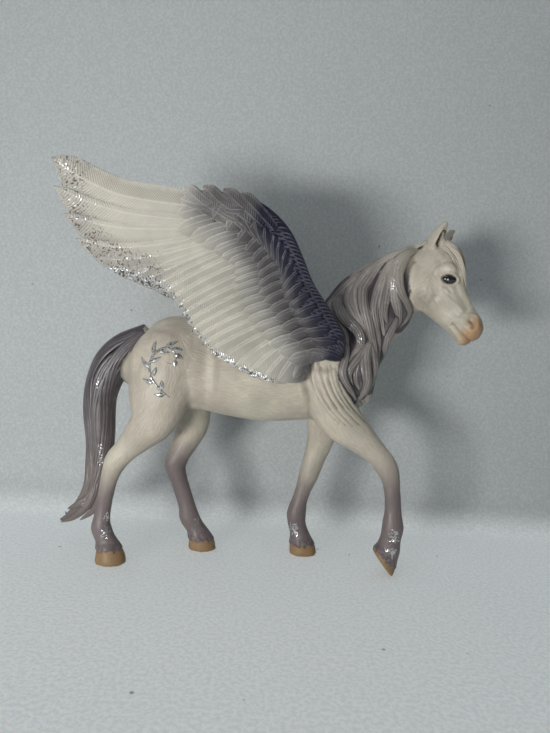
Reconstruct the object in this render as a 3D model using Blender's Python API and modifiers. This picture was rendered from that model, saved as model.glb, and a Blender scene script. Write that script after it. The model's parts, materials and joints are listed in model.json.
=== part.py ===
# A moulded plastic figurine of a winged horse: one body moulding and two glued-in wings.
# It stands on its hooves with +Z up and its head towards +X; its right side faces -Y.
# All lengths are in millimetres, and MM turns them into metres.

import math

import bmesh
import bpy
import numpy as np
from mathutils import Matrix, Vector
from mathutils.bvhtree import BVHTree

MM = 0.001

# Where the hips and the shoulders lie along the body: what they carry is placed from them.
HIP_X = -34.0
SHOULDER_X = 18.0

# Torso: place, centre height, half height, half width. The quarters are placed from the hips,
# the barrel by its share of the way to the shoulders, the chest from the shoulders.
QUARTERS = (
    (-14.5, 72.0, 6.0, 5.0),
    (-12.0, 70.5, 11.5, 10.0),
    (-6.0, 69.0, 15.3, 13.2),
    (2.0, 68.3, 16.2, 14.3),
)
BARREL = (
    (0.23, 68.0, 15.8, 13.6),
    (0.42, 66.2, 15.8, 13.6),
    (0.60, 66.0, 16.6, 14.0),
    (0.77, 67.0, 17.0, 13.8),
)
CHEST = (
    (-4.0, 68.0, 17.2, 13.0),
    (3.0, 67.5, 16.6, 12.2),
    (9.5, 66.0, 14.6, 10.6),
    (14.0, 63.8, 11.0, 8.2),
    (16.2, 62.8, 7.0, 5.6),
    (17.4, 62.5, 3.0, 2.6),
)

# Neck: x from the shoulders, y, z, half depth, half width, up to the poll.
NECK = (
    (-1.5, 0.0, 71.5, 12.8, 10.0),
    (3.5, 0.0, 76.0, 12.5, 9.6),
    (9.0, 0.0, 81.0, 12.0, 8.6),
    (14.5, -0.5, 87.5, 12.2, 7.6),
    (20.0, -1.2, 94.0, 11.6, 6.8),
    (25.0, -2.0, 99.5, 10.0, 6.2),
    (30.0, -3.0, 104.0, 8.4, 5.6),
)

# Head: distance below the poll, offset towards the forehead, half depth, half width.
HEAD = (
    (-4.5, 1.5, 3.5, 3.0),
    (-2.5, 1.0, 7.0, 5.2),
    (0.5, 0.0, 9.0, 6.2),
    (5.0, -1.0, 9.6, 6.8),
    (9.5, -1.6, 9.3, 6.8),
    (14.0, -1.7, 8.2, 5.8),
    (19.0, -1.4, 6.7, 4.4),
    (23.5, -0.9, 5.7, 4.0),
    (27.0, -0.8, 5.5, 4.2),
    (29.5, -1.0, 4.2, 3.6),
    (31.0, -1.2, 1.8, 1.8),
)
POLL = (33.0, -3.0, 107.0)
HEAD_TURN = 28.0
HEAD_PITCH = 55.7

# Bumps on both sides of the head: below poll, to forehead, out sideways, three radii.
HEAD_BUMPS = (
    (9.0, -4.0, 4.3, 5.8, 4.6, 3.0),
    (7.5, 4.6, 4.4, 3.4, 2.4, 2.0),
    (27.2, 2.0, 2.6, 2.3, 2.0, 1.7),
    (28.6, -3.6, 1.2, 2.4, 2.2, 2.6),
)

EAR_BASE = (-2.0, 2.8, 3.4)
EAR_TIP = (-6.8, 13.4, 6.2)
EAR_WIDTH = 2.9
EAR_DEPTH = 1.6

# Legs: x from the hips or the shoulders, z and half depth. Each leg leans outwards on its way down.
NEAR_HIND = (
    (-1.4, 80.0, 4.0),
    (-1.6, 76.5, 9.2),
    (-2.0, 69.5, 12.2),
    (-3.3, 59.0, 11.0),
    (-5.2, 49.5, 8.2),
    (-9.2, 43.8, 5.8),
    (-14.0, 38.4, 4.2),
    (-17.0, 34.8, 4.0),
    (-18.8, 29.8, 3.1),
    (-19.9, 24.5, 2.8),
    (-20.6, 19.5, 2.7),
    (-21.1, 15.0, 2.9),
    (-21.2, 11.6, 3.5),
    (-19.8, 8.2, 3.4),
    (-18.5, 4.8, 4.3),
    (-17.8, 1.5, 5.2),
    (-17.5, -1.5, 5.5),
)
FAR_HIND = (
    (-1.4, 79.5, 4.0),
    (-1.0, 76.0, 9.2),
    (0.0, 69.0, 12.0),
    (2.8, 56.5, 10.3),
    (5.4, 46.5, 6.6),
    (3.7, 40.0, 4.9),
    (1.0, 34.4, 4.2),
    (-0.1, 31.0, 4.1),
    (0.8, 27.0, 3.4),
    (3.0, 21.0, 3.1),
    (4.9, 15.6, 3.2),
    (5.9, 11.6, 3.7),
    (8.1, 8.0, 3.4),
    (10.0, 4.6, 4.2),
    (11.0, 1.5, 5.0),
    (11.3, -1.5, 5.3),
)
NEAR_FORE = (
    (-0.8, 79.0, 4.0),
    (-0.6, 75.5, 8.5),
    (0.0, 68.0, 11.3),
    (2.5, 58.0, 9.0),
    (6.3, 52.0, 7.2),
    (10.0, 48.6, 6.2),
    (14.0, 45.2, 5.0),
    (17.2, 42.4, 4.2),
    (19.8, 39.9, 3.9),
    (21.8, 37.2, 3.9),
    (23.2, 34.4, 3.5),
    (24.0, 31.0, 2.9),
    (24.6, 27.0, 2.8),
    (25.0, 21.8, 3.0),
    (25.2, 16.8, 3.8),
    (24.7, 13.0, 3.6),
    (24.0, 9.2, 4.3),
)
FAR_FORE = (
    (0.6, 76.0, 4.0),
    (0.8, 72.0, 8.0),
    (1.0, 63.0, 9.8),
    (1.4, 50.5, 6.4),
    (1.0, 43.5, 5.2),
    (-1.0, 36.0, 4.1),
    (-2.8, 29.6, 3.8),
    (-4.2, 25.0, 3.1),
    (-5.5, 20.5, 2.9),
    (-6.6, 15.4, 3.6),
    (-6.5, 12.2, 3.5),
    (-5.7, 9.0, 3.3),
    (-4.6, 5.0, 4.2),
    (-3.8, 1.8, 4.9),
    (-3.4, -1.5, 5.2),
)
HIP_OFFSET = 4.6
SHOULDER_OFFSET = 3.0
HOOF_OFFSET = 8.5
LEG_LEAN_HEIGHT = 34.0
LEG_FLATNESS = 0.86

# Raised hoof: its sole's centre from the shoulders, half length, half width and lean from level.
RAISED_SOLE = (22.2, 4.3)
RAISED_SOLE_HALF = (6.1, 4.4)
RAISED_SOLE_LEAN = 52.0

# Tail: x from the hips, y, z, half depth, half width, from the dock to the tip.
TAIL = (
    (-10.0, 0.5, 79.0, 3.0, 3.0),
    (-14.5, 0.8, 76.0, 4.2, 4.2),
    (-19.3, 1.2, 72.2, 5.6, 4.9),
    (-23.4, 1.6, 67.0, 6.2, 5.2),
    (-26.0, 2.0, 61.0, 5.8, 5.2),
    (-27.4, 2.4, 55.0, 5.4, 5.0),
    (-27.6, 2.8, 49.0, 5.3, 4.8),
    (-27.2, 3.0, 43.0, 5.0, 4.6),
    (-26.9, 3.2, 37.0, 4.5, 4.2),
    (-27.2, 3.2, 31.0, 4.2, 3.9),
    (-27.9, 3.0, 25.5, 4.1, 3.6),
    (-29.4, 2.8, 20.6, 3.8, 3.2),
    (-32.4, 2.4, 16.0, 3.0, 2.6),
    (-36.2, 2.0, 12.4, 1.9, 1.7),
    (-39.5, 1.6, 10.2, 0.6, 0.6),
)

# Locks along the tail: start and end along it, offset across it, outwards, radius, twist.
TAIL_LOCKS = (
    (0.05, 0.93, 0.75, 0.35, 1.5, 0.5),
    (0.08, 0.99, 0.30, 0.85, 1.6, -0.4),
    (0.10, 0.88, -0.30, 0.90, 1.5, 0.5),
    (0.06, 0.80, -0.80, 0.40, 1.4, -0.5),
    (0.05, 0.95, 0.60, -0.70, 1.6, -0.5),
    (0.10, 0.85, -0.50, -0.80, 1.6, 0.5),
)

# Mane locks on the right of the neck: points from the crest to the tip, as x from the shoulders
# and z, and the radius. The first ones lie on the left of the neck too.
MANE_LOCKS = (
    (((27.0, 110.5), (22.3, 105.0), (22.0, 96.5), (26.3, 89.5), (23.2, 83.8)), 1.9),
    (((22.5, 108.5), (18.5, 100.5), (17.5, 91.0), (18.8, 85.0)), 1.6),
    (((20.5, 107.5), (16.0, 98.5), (14.0, 89.0), (16.5, 79.0), (17.6, 72.5)), 1.8),
    (((17.0, 106.0), (10.5, 97.5), (10.5, 90.0), (13.5, 81.0), (16.3, 71.0), (15.2, 66.5)), 1.9),
    (((11.8, 102.5), (6.5, 94.5), (7.5, 88.0), (12.0, 80.0)), 1.8),
    (((8.0, 100.5), (2.5, 92.0), (5.0, 85.5), (10.0, 79.0), (5.0, 70.5)), 2.2),
    (((4.0, 96.5), (-0.7, 89.5), (4.0, 82.5), (5.3, 73.5)), 1.6),
    (((22.0, 87.5), (19.2, 80.0), (19.4, 74.5), (18.2, 71.0)), 1.5),
    (((13.5, 79.0), (12.0, 69.0), (12.8, 65.0), (9.0, 56.8)), 1.9),
    (((13.0, 78.5), (7.5, 71.0), (6.3, 67.0), (8.3, 64.0)), 1.5),
    (((5.5, 77.5), (4.0, 68.5), (10.0, 58.5)), 1.5),
    (((13.5, 77.5), (15.4, 69.5), (13.0, 60.5)), 1.4),
)
LEFT_LOCKS = 7
LOCK_OUT = 0.3
LOCK_FLATNESS = 0.95
CREST = ((30.5, 111.0), (26.5, 109.3), (21.5, 106.8), (16.0, 104.6), (10.8, 101.0), (5.8, 97.6),
         (3.8, 94.0), (3.0, 90.0), (4.5, 86.5))
CREST_RADIUS = 2.3
FORELOCK = ((-4.0, 7.0, 0.0), (-0.5, 9.2, 0.4), (4.0, 9.6, 1.2), (8.5, 8.6, 1.8), (13.0, 6.6, 1.6))
FORELOCK_RADIUS = 1.8

# Wing: place of its root from the shoulders, the mid-plane and the ground, and how far its
# top and its tip stand further out than the root.
WING_X = -3.0
WING_Y = 16.4
WING_Z = 74.6
WING_TOP_OUT = 17.0
WING_TIP_OUT = 10.8
WING_HEIGHT = 50.0
WING_LENGTH = 77.4
FEATHER_THICKNESS = 1.5
FEATHER_TILT = 6.0
LEADING_VANE = 1.3
TIP_CUT = 6.5

# Flight feathers, wing tip first: the shaft's base and tip on the spread wing, and the width of
# the vane behind it, which reaches under the shaft of the next feather.
FLIGHT_FEATHERS = (
    ((-34.0, 43.8), (1.6 - WING_LENGTH, WING_HEIGHT), 7.4),
    ((-34.5, 41.2), (-WING_LENGTH, WING_HEIGHT - 6.4), 7.8),
    ((-35.0, 38.8), (1.2 - WING_LENGTH, WING_HEIGHT - 13.4), 7.6),
    ((-35.0, 36.4), (4.0 - WING_LENGTH, WING_HEIGHT - 19.6), 7.2),
    ((-35.0, 34.4), (-68.2, 25.3), 6.4),
    ((-34.0, 33.0), (-63.2, 21.6), 5.6),
    ((-32.0, 32.4), (-57.8, 20.0), 5.2),
    ((-29.5, 31.6), (-52.4, 19.2), 4.8),
    ((-26.5, 29.8), (-48.6, 16.8), 5.0),
    ((-24.0, 26.0), (-46.2, 13.1), 5.0),
    ((-23.0, 22.0), (-44.0, 9.4), 5.0),
    ((-22.5, 17.5), (-42.0, 5.4), 4.8),
    ((-20.5, 13.0), (-39.4, 2.0), 4.8),
    ((-18.0, 9.5), (-36.8, -1.2), 6.2),
    ((-15.0, 6.5), (-31.0, -4.8), 7.4),
    ((-11.5, 3.5), (-24.0, -8.6), 7.6),
    ((-7.5, 1.5), (-16.6, -11.0), 7.4),
    ((-4.0, 0.5), (-9.2, -9.4), 4.6),
)
FIRST_LEADING_VANE = 3.4

# Coverts: the line of their tips, how many, length, width behind the shaft, lift off the wing's middle.
GREATER_COVERTS = (((-42.0, 45.6), (-45.2, 39.5), (-45.4, 34.2), (-36.6, 30.2), (-29.2, 26.0),
                    (-28.5, 17.2), (-24.2, 8.8), (-17.2, 1.5), (-9.5, -4.2)), 15, 12.0, 4.8, 0.7)
MEDIAN_COVERTS = (((-34.0, 46.0), (-36.5, 40.0), (-29.0, 34.0), (-22.0, 26.0), (-21.2, 17.7),
                   (-13.5, 6.8), (-4.0, -1.8)), 12, 9.5, 4.6, 1.2)
COVERT_CUT = 3.5

# Arm and hand of the wing: flat position, radius along the wing, radius through it.
WING_ARM = (
    (1.5, -1.5, 4.6, 3.2),
    (2.2, 4.0, 5.0, 3.0),
    (-2.6, 11.0, 5.0, 2.7),
    (-8.6, 19.5, 4.8, 2.4),
    (-12.6, 28.0, 4.6, 2.2),
    (-17.2, 35.0, 5.0, 2.0),
    (-24.5, 39.8, 5.4, 1.8),
    (-32.5, 42.0, 4.4, 1.5),
    (-41.0, 43.5, 2.6, 1.2),
)

# Seat of a wing on its shoulder: a flat boss on the body, and a glued peg in a socket.
# The peg's centre lies a little ahead of and above the wing's root.
SEAT_Y = 13.4
BOSS_RADII = (7.5, 4.6, 8.0)
BOSS_CENTRE = (-2.0, 10.6, 76.0)
SEAT_RADIUS = 7.5
PEG_RADIUS = 2.6
PEG_LENGTH = 5.0
PEG_AHEAD = 1.0
PEG_ABOVE = 1.0
SEAT_GAP = 0.3

# The web of skin between the arm and the tips of the greater coverts.
WEB_STEPS = 16
WEB_REACH = 0.95

# Fineness of the meshes: voxel size, and the share of the faces that is kept.
BODY_VOXEL = 0.7
WING_VOXEL = 0.42
BODY_KEEP = 0.0445
WING_KEEP = 0.0285

ACROSS = Vector((0.0, 1.0, 0.0))


def clear_scene():
    for old in list(bpy.data.objects):
        bpy.data.objects.remove(old, do_unlink=True)


def make_collection(name):
    collection = bpy.data.collections.new(name)
    bpy.context.scene.collection.children.link(collection)
    return collection


def make_material(name, colour, roughness, metallic=0.0):
    material = bpy.data.materials.new(name)
    material.use_nodes = True
    shader = material.node_tree.nodes["Principled BSDF"]
    shader.inputs["Base Color"].default_value = (*colour, 1.0)
    shader.inputs["Roughness"].default_value = roughness
    shader.inputs["Metallic"].default_value = metallic
    return material


def make_object(name, bm, collection, material=None):
    """Turn a bmesh in millimetres into a mesh object in metres."""
    bmesh.ops.scale(bm, vec=(MM, MM, MM), verts=bm.verts)
    bmesh.ops.recalc_face_normals(bm, faces=bm.faces)
    mesh = bpy.data.meshes.new(name)
    bm.to_mesh(mesh)
    bm.free()
    thing = bpy.data.objects.new(name, mesh)
    collection.objects.link(thing)
    if material:
        mesh.materials.append(material)
    return thing


def smooth_rows(rows, steps):
    """Rows on a Catmull-Rom curve through the given ones."""
    rows = np.array(rows, float)
    padded = np.vstack([2 * rows[0] - rows[1], rows, 2 * rows[-1] - rows[-2]])
    result = []
    for i in range(1, len(padded) - 2):
        a, b, c, d = padded[i - 1:i + 3]
        for k in range(steps):
            t = k / steps
            result.append(0.5 * (2 * b + (c - a) * t + (2 * a - 5 * b + 4 * c - d) * t * t
                                 + (3 * b - a - 3 * c + d) * t ** 3))
    result.append(rows[-1])
    return result


def add_rings(bm, rings):
    """Close a row of rings of points into one body with capped ends."""
    loops = [[bm.verts.new(point) for point in ring] for ring in rings]
    count = len(loops[0])
    for low, high in zip(loops, loops[1:]):
        for k in range(count):
            bm.faces.new((low[k], low[(k + 1) % count], high[(k + 1) % count], high[k]))
    bm.faces.new(loops[0][::-1])
    bm.faces.new(loops[-1])


def add_loft(bm, rows, side=ACROSS, sides=20, steps=4):
    """Elliptical loft through rows of x, y, z, half depth and half width."""
    rows = smooth_rows(rows, steps)
    centres = [Vector(row[:3]) for row in rows]
    rings = []
    for i, row in enumerate(rows):
        ahead = centres[min(i + 1, len(rows) - 1)] - centres[max(i - 1, 0)]
        ahead.normalize()
        width = (side - ahead * side.dot(ahead)).normalized()
        depth = ahead.cross(width)
        ring = []
        for k in range(sides):
            angle = 2 * math.pi * k / sides
            ring.append(centres[i] + depth * (max(row[3], 0.1) * math.cos(angle))
                        + width * (max(row[4], 0.1) * math.sin(angle)))
        rings.append(ring)
    add_rings(bm, rings)


def add_bump(bm, centre, radii, turn=None):
    """An ellipsoid at a point."""
    matrix = Matrix.Translation(Vector(centre)) @ (turn or Matrix.Identity(4)) @ Matrix.Diagonal((*radii, 1.0))
    bmesh.ops.create_uvsphere(bm, u_segments=20, v_segments=12, radius=1.0, matrix=matrix)


def head_axes():
    """Directions down the face, out of the forehead and out of the right cheek."""
    turn = math.radians(HEAD_TURN)
    pitch = math.radians(HEAD_PITCH)
    down = Vector((math.cos(pitch) * math.cos(turn), -math.cos(pitch) * math.sin(turn), -math.sin(pitch)))
    front = Vector((math.sin(pitch) * math.cos(turn), -math.sin(pitch) * math.sin(turn), math.cos(pitch)))
    right = Vector((-math.sin(turn), -math.cos(turn), 0.0))
    return down, front, right


def head_point(down_by, front_by, right_by):
    down, front, right = head_axes()
    return Vector((SHOULDER_X + POLL[0], POLL[1], POLL[2])) + down * down_by + front * front_by + right * right_by


def add_head(bm):
    down, front, right = head_axes()
    rows = [(*head_point(s, t, 0.0), half_depth, half_width) for s, t, half_depth, half_width in HEAD]
    add_loft(bm, rows, side=right)
    turn = Matrix((down, front, right)).transposed().to_4x4()
    for s, t, out, *radii in HEAD_BUMPS:
        for sign in (1, -1):
            add_bump(bm, head_point(s, t, sign * out), radii, turn)
    for sign in (1, -1):
        base = head_point(EAR_BASE[0], EAR_BASE[1], sign * EAR_BASE[2])
        tip = head_point(EAR_TIP[0], EAR_TIP[1], sign * EAR_TIP[2])
        shape = ((0.0, 0.8), (0.3, 1.0), (0.6, 0.8), (0.85, 0.45), (1.0, 0.12))
        add_loft(bm, [(*base.lerp(tip, t), EAR_WIDTH * k, EAR_DEPTH * k) for t, k in shape], side=right)


def leg_rows(table, side, top_x, top_offset):
    """Rows of a leg, which leans out from the hip or shoulder to the hoof."""
    rows = []
    top = table[0][1]
    for x, z, half_depth in table:
        fall = min(1.0, (top - z) / LEG_LEAN_HEIGHT)
        y = side * (top_offset + (HOOF_OFFSET - top_offset) * fall)
        rows.append((top_x + x, y, z, half_depth, half_depth * LEG_FLATNESS))
    return rows


def add_raised_hoof(bm):
    """The raised hoof, from the coronet to its leaning sole."""
    x, z, half_depth = NEAR_FORE[-1]
    x += SHOULDER_X
    sole = (SHOULDER_X + RAISED_SOLE[0], RAISED_SOLE[1])
    lean = math.radians(RAISED_SOLE_LEAN)
    rings = []
    for centre, tilt, half_length, half_width in (
            ((x + 0.1, z + 1.5), 0.0, half_depth - 0.3, half_depth * LEG_FLATNESS),
            ((x, z), math.radians(8), half_depth, half_depth * LEG_FLATNESS),
            (sole, lean, *RAISED_SOLE_HALF)):
        ring = []
        for k in range(20):
            angle = 2 * math.pi * k / 20
            along = half_length * math.cos(angle)
            ring.append((centre[0] + along * math.cos(tilt),
                         -HOOF_OFFSET + half_width * math.sin(angle),
                         centre[1] - along * math.sin(tilt)))
        rings.append(ring)
    add_rings(bm, rings)


def add_tail(bm):
    rows = [(HIP_X + x, *row) for x, *row in TAIL]
    add_loft(bm, rows, steps=3)
    path = smooth_rows(rows, 3)
    last = len(path) - 1
    for start, end, across, outwards, radius, twist in TAIL_LOCKS:
        rows = []
        count = 12
        for k in range(count + 1):
            t = k / count
            place = (start + (end - start) * t) * last
            low = min(int(place), last - 1)
            row = path[low] + (path[low + 1] - path[low]) * (place - low)
            ahead = Vector(path[low + 1][:3]) - Vector(path[low][:3])
            ahead.normalize()
            width = (ACROSS - ahead * ahead.y).normalized()
            depth = ahead.cross(width)
            swing = twist * math.sin(2.0 * math.pi * t)
            point = (Vector(row[:3]) + depth * (row[3] * across * (1 - 0.12 * abs(swing)) + swing)
                     + width * (-row[4] * outwards))
            size = radius * (0.35 + 0.65 * math.sin(math.pi * min(1.0, 0.25 + 0.8 * t)))
            rows.append((*point, max(size, 0.35), max(size, 0.35)))
        add_loft(bm, rows, sides=10, steps=2)


def add_mane(bm, skin):
    """Crest, forelock and locks, laid on both sides of the neck."""
    add_loft(bm, [(SHOULDER_X + x, -1.0, z, CREST_RADIUS, CREST_RADIUS) for x, z in CREST], steps=3)
    for side, locks in ((-1, MANE_LOCKS), (1, MANE_LOCKS[:LEFT_LOCKS])):
        for points, radius in locks:
            rows = []
            for k, (x, z, t) in enumerate(smooth_rows([(*point, 0.0) for point in points], 3)):
                hit = skin.ray_cast(Vector((SHOULDER_X + x, side * 60.0, z)), ACROSS * -side)[0]
                y = hit.y if hit else side * 1.5
                share = k / (3 * len(points) - 3)
                size = radius * max(0.28, (1 - share ** 2.4) ** 0.7)
                rows.append((SHOULDER_X + x, y + side * LOCK_OUT, z, size, size * LOCK_FLATNESS))
            add_loft(bm, rows, sides=12, steps=2)
    rows = [(*head_point(*point), FORELOCK_RADIUS * (1.0 - 0.18 * k), FORELOCK_RADIUS * (1.2 - 0.2 * k))
            for k, point in enumerate(FORELOCK)]
    add_loft(bm, rows, sides=12, steps=4)


def add_torso(bm):
    barrel = SHOULDER_X - HIP_X
    rows = [(HIP_X + x, 0.0, *row) for x, *row in QUARTERS]
    rows += [(HIP_X + share * barrel, 0.0, *row) for share, *row in BARREL]
    rows += [(SHOULDER_X + x, 0.0, *row) for x, *row in CHEST]
    add_loft(bm, rows, sides=28)
    add_loft(bm, [(SHOULDER_X + x, *row) for x, *row in NECK], sides=24)
    x, y, z = BOSS_CENTRE
    for sign in (-1, 1):
        add_bump(bm, (SHOULDER_X + x, sign * y, z), BOSS_RADII)


def skin_tree(bm):
    bm.normal_update()
    return BVHTree.FromBMesh(bm)


def add_remesh(thing, voxel, keep, smooth):
    remesh = thing.modifiers.new("one_skin", "REMESH")
    remesh.mode = "VOXEL"
    remesh.voxel_size = voxel * MM
    soften = thing.modifiers.new("soften", "SMOOTH")
    soften.factor = 0.5
    soften.iterations = smooth
    thin = thing.modifiers.new("thin_out", "DECIMATE")
    thin.decimate_type = "COLLAPSE"
    thin.ratio = keep
    thin.use_collapse_triangulate = True


def add_cut(thing, cutter, operation="DIFFERENCE"):
    cut = thing.modifiers.new(cutter.name, "BOOLEAN")
    cut.operation = operation
    cut.solver = "EXACT"
    cut.object = cutter


def make_cutter(name, bm, cutters):
    cutter = make_object(name, bm, cutters)
    cutter.hide_render = True
    cutter.display_type = "WIRE"
    return cutter


def box_cutter(name, low, high, cutters):
    bm = bmesh.new()
    low = Vector(low)
    high = Vector(high)
    matrix = Matrix.Translation((low + high) / 2) @ Matrix.Diagonal((*(high - low), 1.0))
    bmesh.ops.create_cube(bm, size=1.0, matrix=matrix)
    return make_cutter(name, bm, cutters)


def peg_cutter(name, radius, inner, outer, side, cutters):
    """A round bar along Y through a wing's seat."""
    bm = bmesh.new()
    place = Vector((SHOULDER_X + WING_X + PEG_AHEAD, side * (inner + outer) / 2, WING_Z + PEG_ABOVE))
    matrix = Matrix.Translation(place) @ Matrix.Rotation(math.pi / 2, 4, "X")
    bmesh.ops.create_cone(bm, cap_ends=True, segments=24, radius1=radius, radius2=radius,
                          depth=outer - inner, matrix=matrix)
    return make_cutter(name, bm, cutters)


def make_body(collection, cutters):
    bm = bmesh.new()
    add_torso(bm)
    skin = skin_tree(bm)
    add_head(bm)
    for table, side in ((NEAR_HIND, -1), (FAR_HIND, 1)):
        add_loft(bm, leg_rows(table, side, HIP_X, HIP_OFFSET), sides=18)
    for table, side in ((NEAR_FORE, -1), (FAR_FORE, 1)):
        add_loft(bm, leg_rows(table, side, SHOULDER_X, SHOULDER_OFFSET), sides=18)
    add_raised_hoof(bm)
    add_tail(bm)
    add_mane(bm, skin)
    pearl = make_material("pearl_ivory", (0.80, 0.72, 0.62), 0.38)
    body = make_object("body", bm, collection, pearl)
    add_remesh(body, BODY_VOXEL, BODY_KEEP, 2)
    add_cut(body, box_cutter("ground", (-90, -40, -12), (90, 40, 0), cutters))
    for name, side in (("right", -1), ("left", 1)):
        add_cut(body, peg_cutter("seat_" + name, SEAT_RADIUS, SEAT_Y, SEAT_Y + 12.0, side, cutters))
        add_cut(body, peg_cutter("socket_" + name, PEG_RADIUS + SEAT_GAP, SEAT_Y - PEG_LENGTH - SEAT_GAP,
                                 SEAT_Y + 3.0, side, cutters))
    return body


def wing_point(u, v, w=0.0):
    """A point of the right wing: u forward, v up the spread wing, w outwards through it."""
    spread = math.asin(WING_TOP_OUT / WING_HEIGHT)
    sweep = math.asin(WING_TIP_OUT / WING_LENGTH)
    rise = v if v > 0 else 0.0
    return Vector((SHOULDER_X + WING_X + u * math.cos(sweep),
                   -(WING_Y + rise * math.sin(spread) - u * math.sin(sweep) + w * math.cos(spread)),
                   WING_Z + v * math.cos(spread) - w * math.sin(spread)))


def add_feather(bm, base, tip, behind, ahead=LEADING_VANE, cut=TIP_CUT, lift=0.0):
    """One feather: a blade with a raised shaft near its leading edge, cut back to a point behind.
    Its leading edge stands out over the vane of the feather before it."""
    base = np.array(base)
    tip = np.array(tip)
    length = np.linalg.norm(tip - base)
    along = (tip - base) / length
    back = np.array((-along[1], along[0]))
    tilt = math.radians(FEATHER_TILT)
    shoulder = 1.0 - cut / length
    stations = ((0.0, 0.7, 0.45), (0.35 * shoulder, 1.0, 0.8), (0.7 * shoulder, 1.0, 1.0), (shoulder, 0.8, 1.0),
                (0.45 + 0.55 * shoulder, 0.45, 0.66), (1.0, 0.08, 0.08))
    rings = []
    for t, lead, trail in stations:
        place = base + (tip - base) * t - back * 0.8 * math.sin(math.pi * t)
        thick = FEATHER_THICKNESS / 2 * (1.0 - 0.2 * t)
        half = ((-ahead * lead, 0.5 * thick), (0.0, thick), (0.45 * behind * trail, 0.7 * thick),
                (behind * trail, 0.45 * thick))
        around = [(across, -through) for across, through in half] + [*half[::-1]]
        ring = []
        for across, through in around:
            flat = place + back * across
            ring.append(wing_point(flat[0], flat[1], lift + through - across * math.sin(tilt)))
        rings.append(ring)
    add_rings(bm, rings)


def row_point(points, t):
    """A point at a share of the way along an open line of points."""
    points = np.array(points, float)
    steps = np.linalg.norm(np.diff(points, axis=0), axis=1)
    travelled = np.concatenate([[0.0], np.cumsum(steps)])
    place = t * travelled[-1]
    return np.array([np.interp(place, travelled, points[:, axis]) for axis in (0, 1)])


def make_right_wing(collection, cutters, material):
    bm = bmesh.new()
    for number, (base, tip, behind) in enumerate(FLIGHT_FEATHERS):
        add_feather(bm, base, tip, behind, LEADING_VANE if number else FIRST_LEADING_VANE)
    arm_line = [(u, v) for u, v, _, _ in WING_ARM][::-1]
    for line, count, length, behind, lift in (GREATER_COVERTS, MEDIAN_COVERTS):
        for k in range(count):
            t = (k + 0.5) / count
            tip = row_point(line, t)
            root = row_point(arm_line, t)
            ahead = (tip - root) / np.linalg.norm(tip - root)
            for side in (1, -1):
                add_feather(bm, tip - ahead * length, tip, behind, cut=COVERT_CUT, lift=side * lift)
    rings = []
    for k in range(WEB_STEPS + 1):
        t = k / WEB_STEPS
        root = row_point(arm_line, t)
        edge = root + (row_point(GREATER_COVERTS[0], t) - root) * WEB_REACH
        half = FEATHER_THICKNESS / 2
        rings.append([wing_point(*root, -half), wing_point(*root, half),
                      wing_point(*edge, half), wing_point(*edge, -half)])
    add_rings(bm, rings)
    rows = [(*wing_point(u, v), along, through) for u, v, along, through in WING_ARM]
    outward = wing_point(0, 10, 1.0) - wing_point(0, 10, 0.0)
    add_loft(bm, rows, side=outward, sides=16)
    wing = make_object("wing_right", bm, collection, material)
    add_remesh(wing, WING_VOXEL, WING_KEEP, 1)
    x = SHOULDER_X + WING_X
    add_cut(wing, box_cutter("wing_seat", (x - 14, -(SEAT_Y + SEAT_GAP), WING_Z - 20),
                             (x + 14, 0, WING_Z + 20), cutters))
    add_cut(wing, peg_cutter("peg", PEG_RADIUS, SEAT_Y - PEG_LENGTH, SEAT_Y + 3.5, -1, cutters), "UNION")
    return wing


def bake(thing):
    """Put the modifiers' result into the mesh."""
    depsgraph = bpy.context.evaluated_depsgraph_get()
    mesh = bpy.data.meshes.new_from_object(thing.evaluated_get(depsgraph))
    thing.modifiers.clear()
    thing.data = mesh


def make_left_wing(wing, collection):
    """The mirror image of the right wing."""
    mesh = wing.data.copy()
    mesh.name = "wing_left"
    mesh.transform(Matrix.Scale(-1, 4, ACROSS))
    mesh.flip_normals()
    other = bpy.data.objects.new("wing_left", mesh)
    collection.objects.link(other)
    return other


def centre_on_ground(things, cutters):
    """Move everything so that the box's bottom centre is the origin."""
    xs = [vertex.co.x for thing in things for vertex in thing.data.vertices]
    ys = [vertex.co.y for thing in things for vertex in thing.data.vertices]
    shift = Matrix.Translation((-(min(xs) + max(xs)) / 2, -(min(ys) + max(ys)) / 2, 0.0))
    for thing in list(things) + list(cutters.objects):
        thing.data.transform(shift)


def main():
    clear_scene()
    collection = make_collection("pegasus_figurine")
    cutters = make_collection("cutters")
    body = make_body(collection, cutters)
    plumage = make_material("wing_ivory_grey", (0.62, 0.56, 0.56), 0.42)
    right = make_right_wing(collection, cutters, plumage)
    bake(body)
    bake(right)
    left = make_left_wing(right, collection)
    centre_on_ground((body, right, left), cutters)


main()
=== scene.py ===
import json
import math

import bmesh
import bpy
import numpy as np
from mathutils import Matrix, Vector
from mathutils.bvhtree import BVHTree

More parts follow.
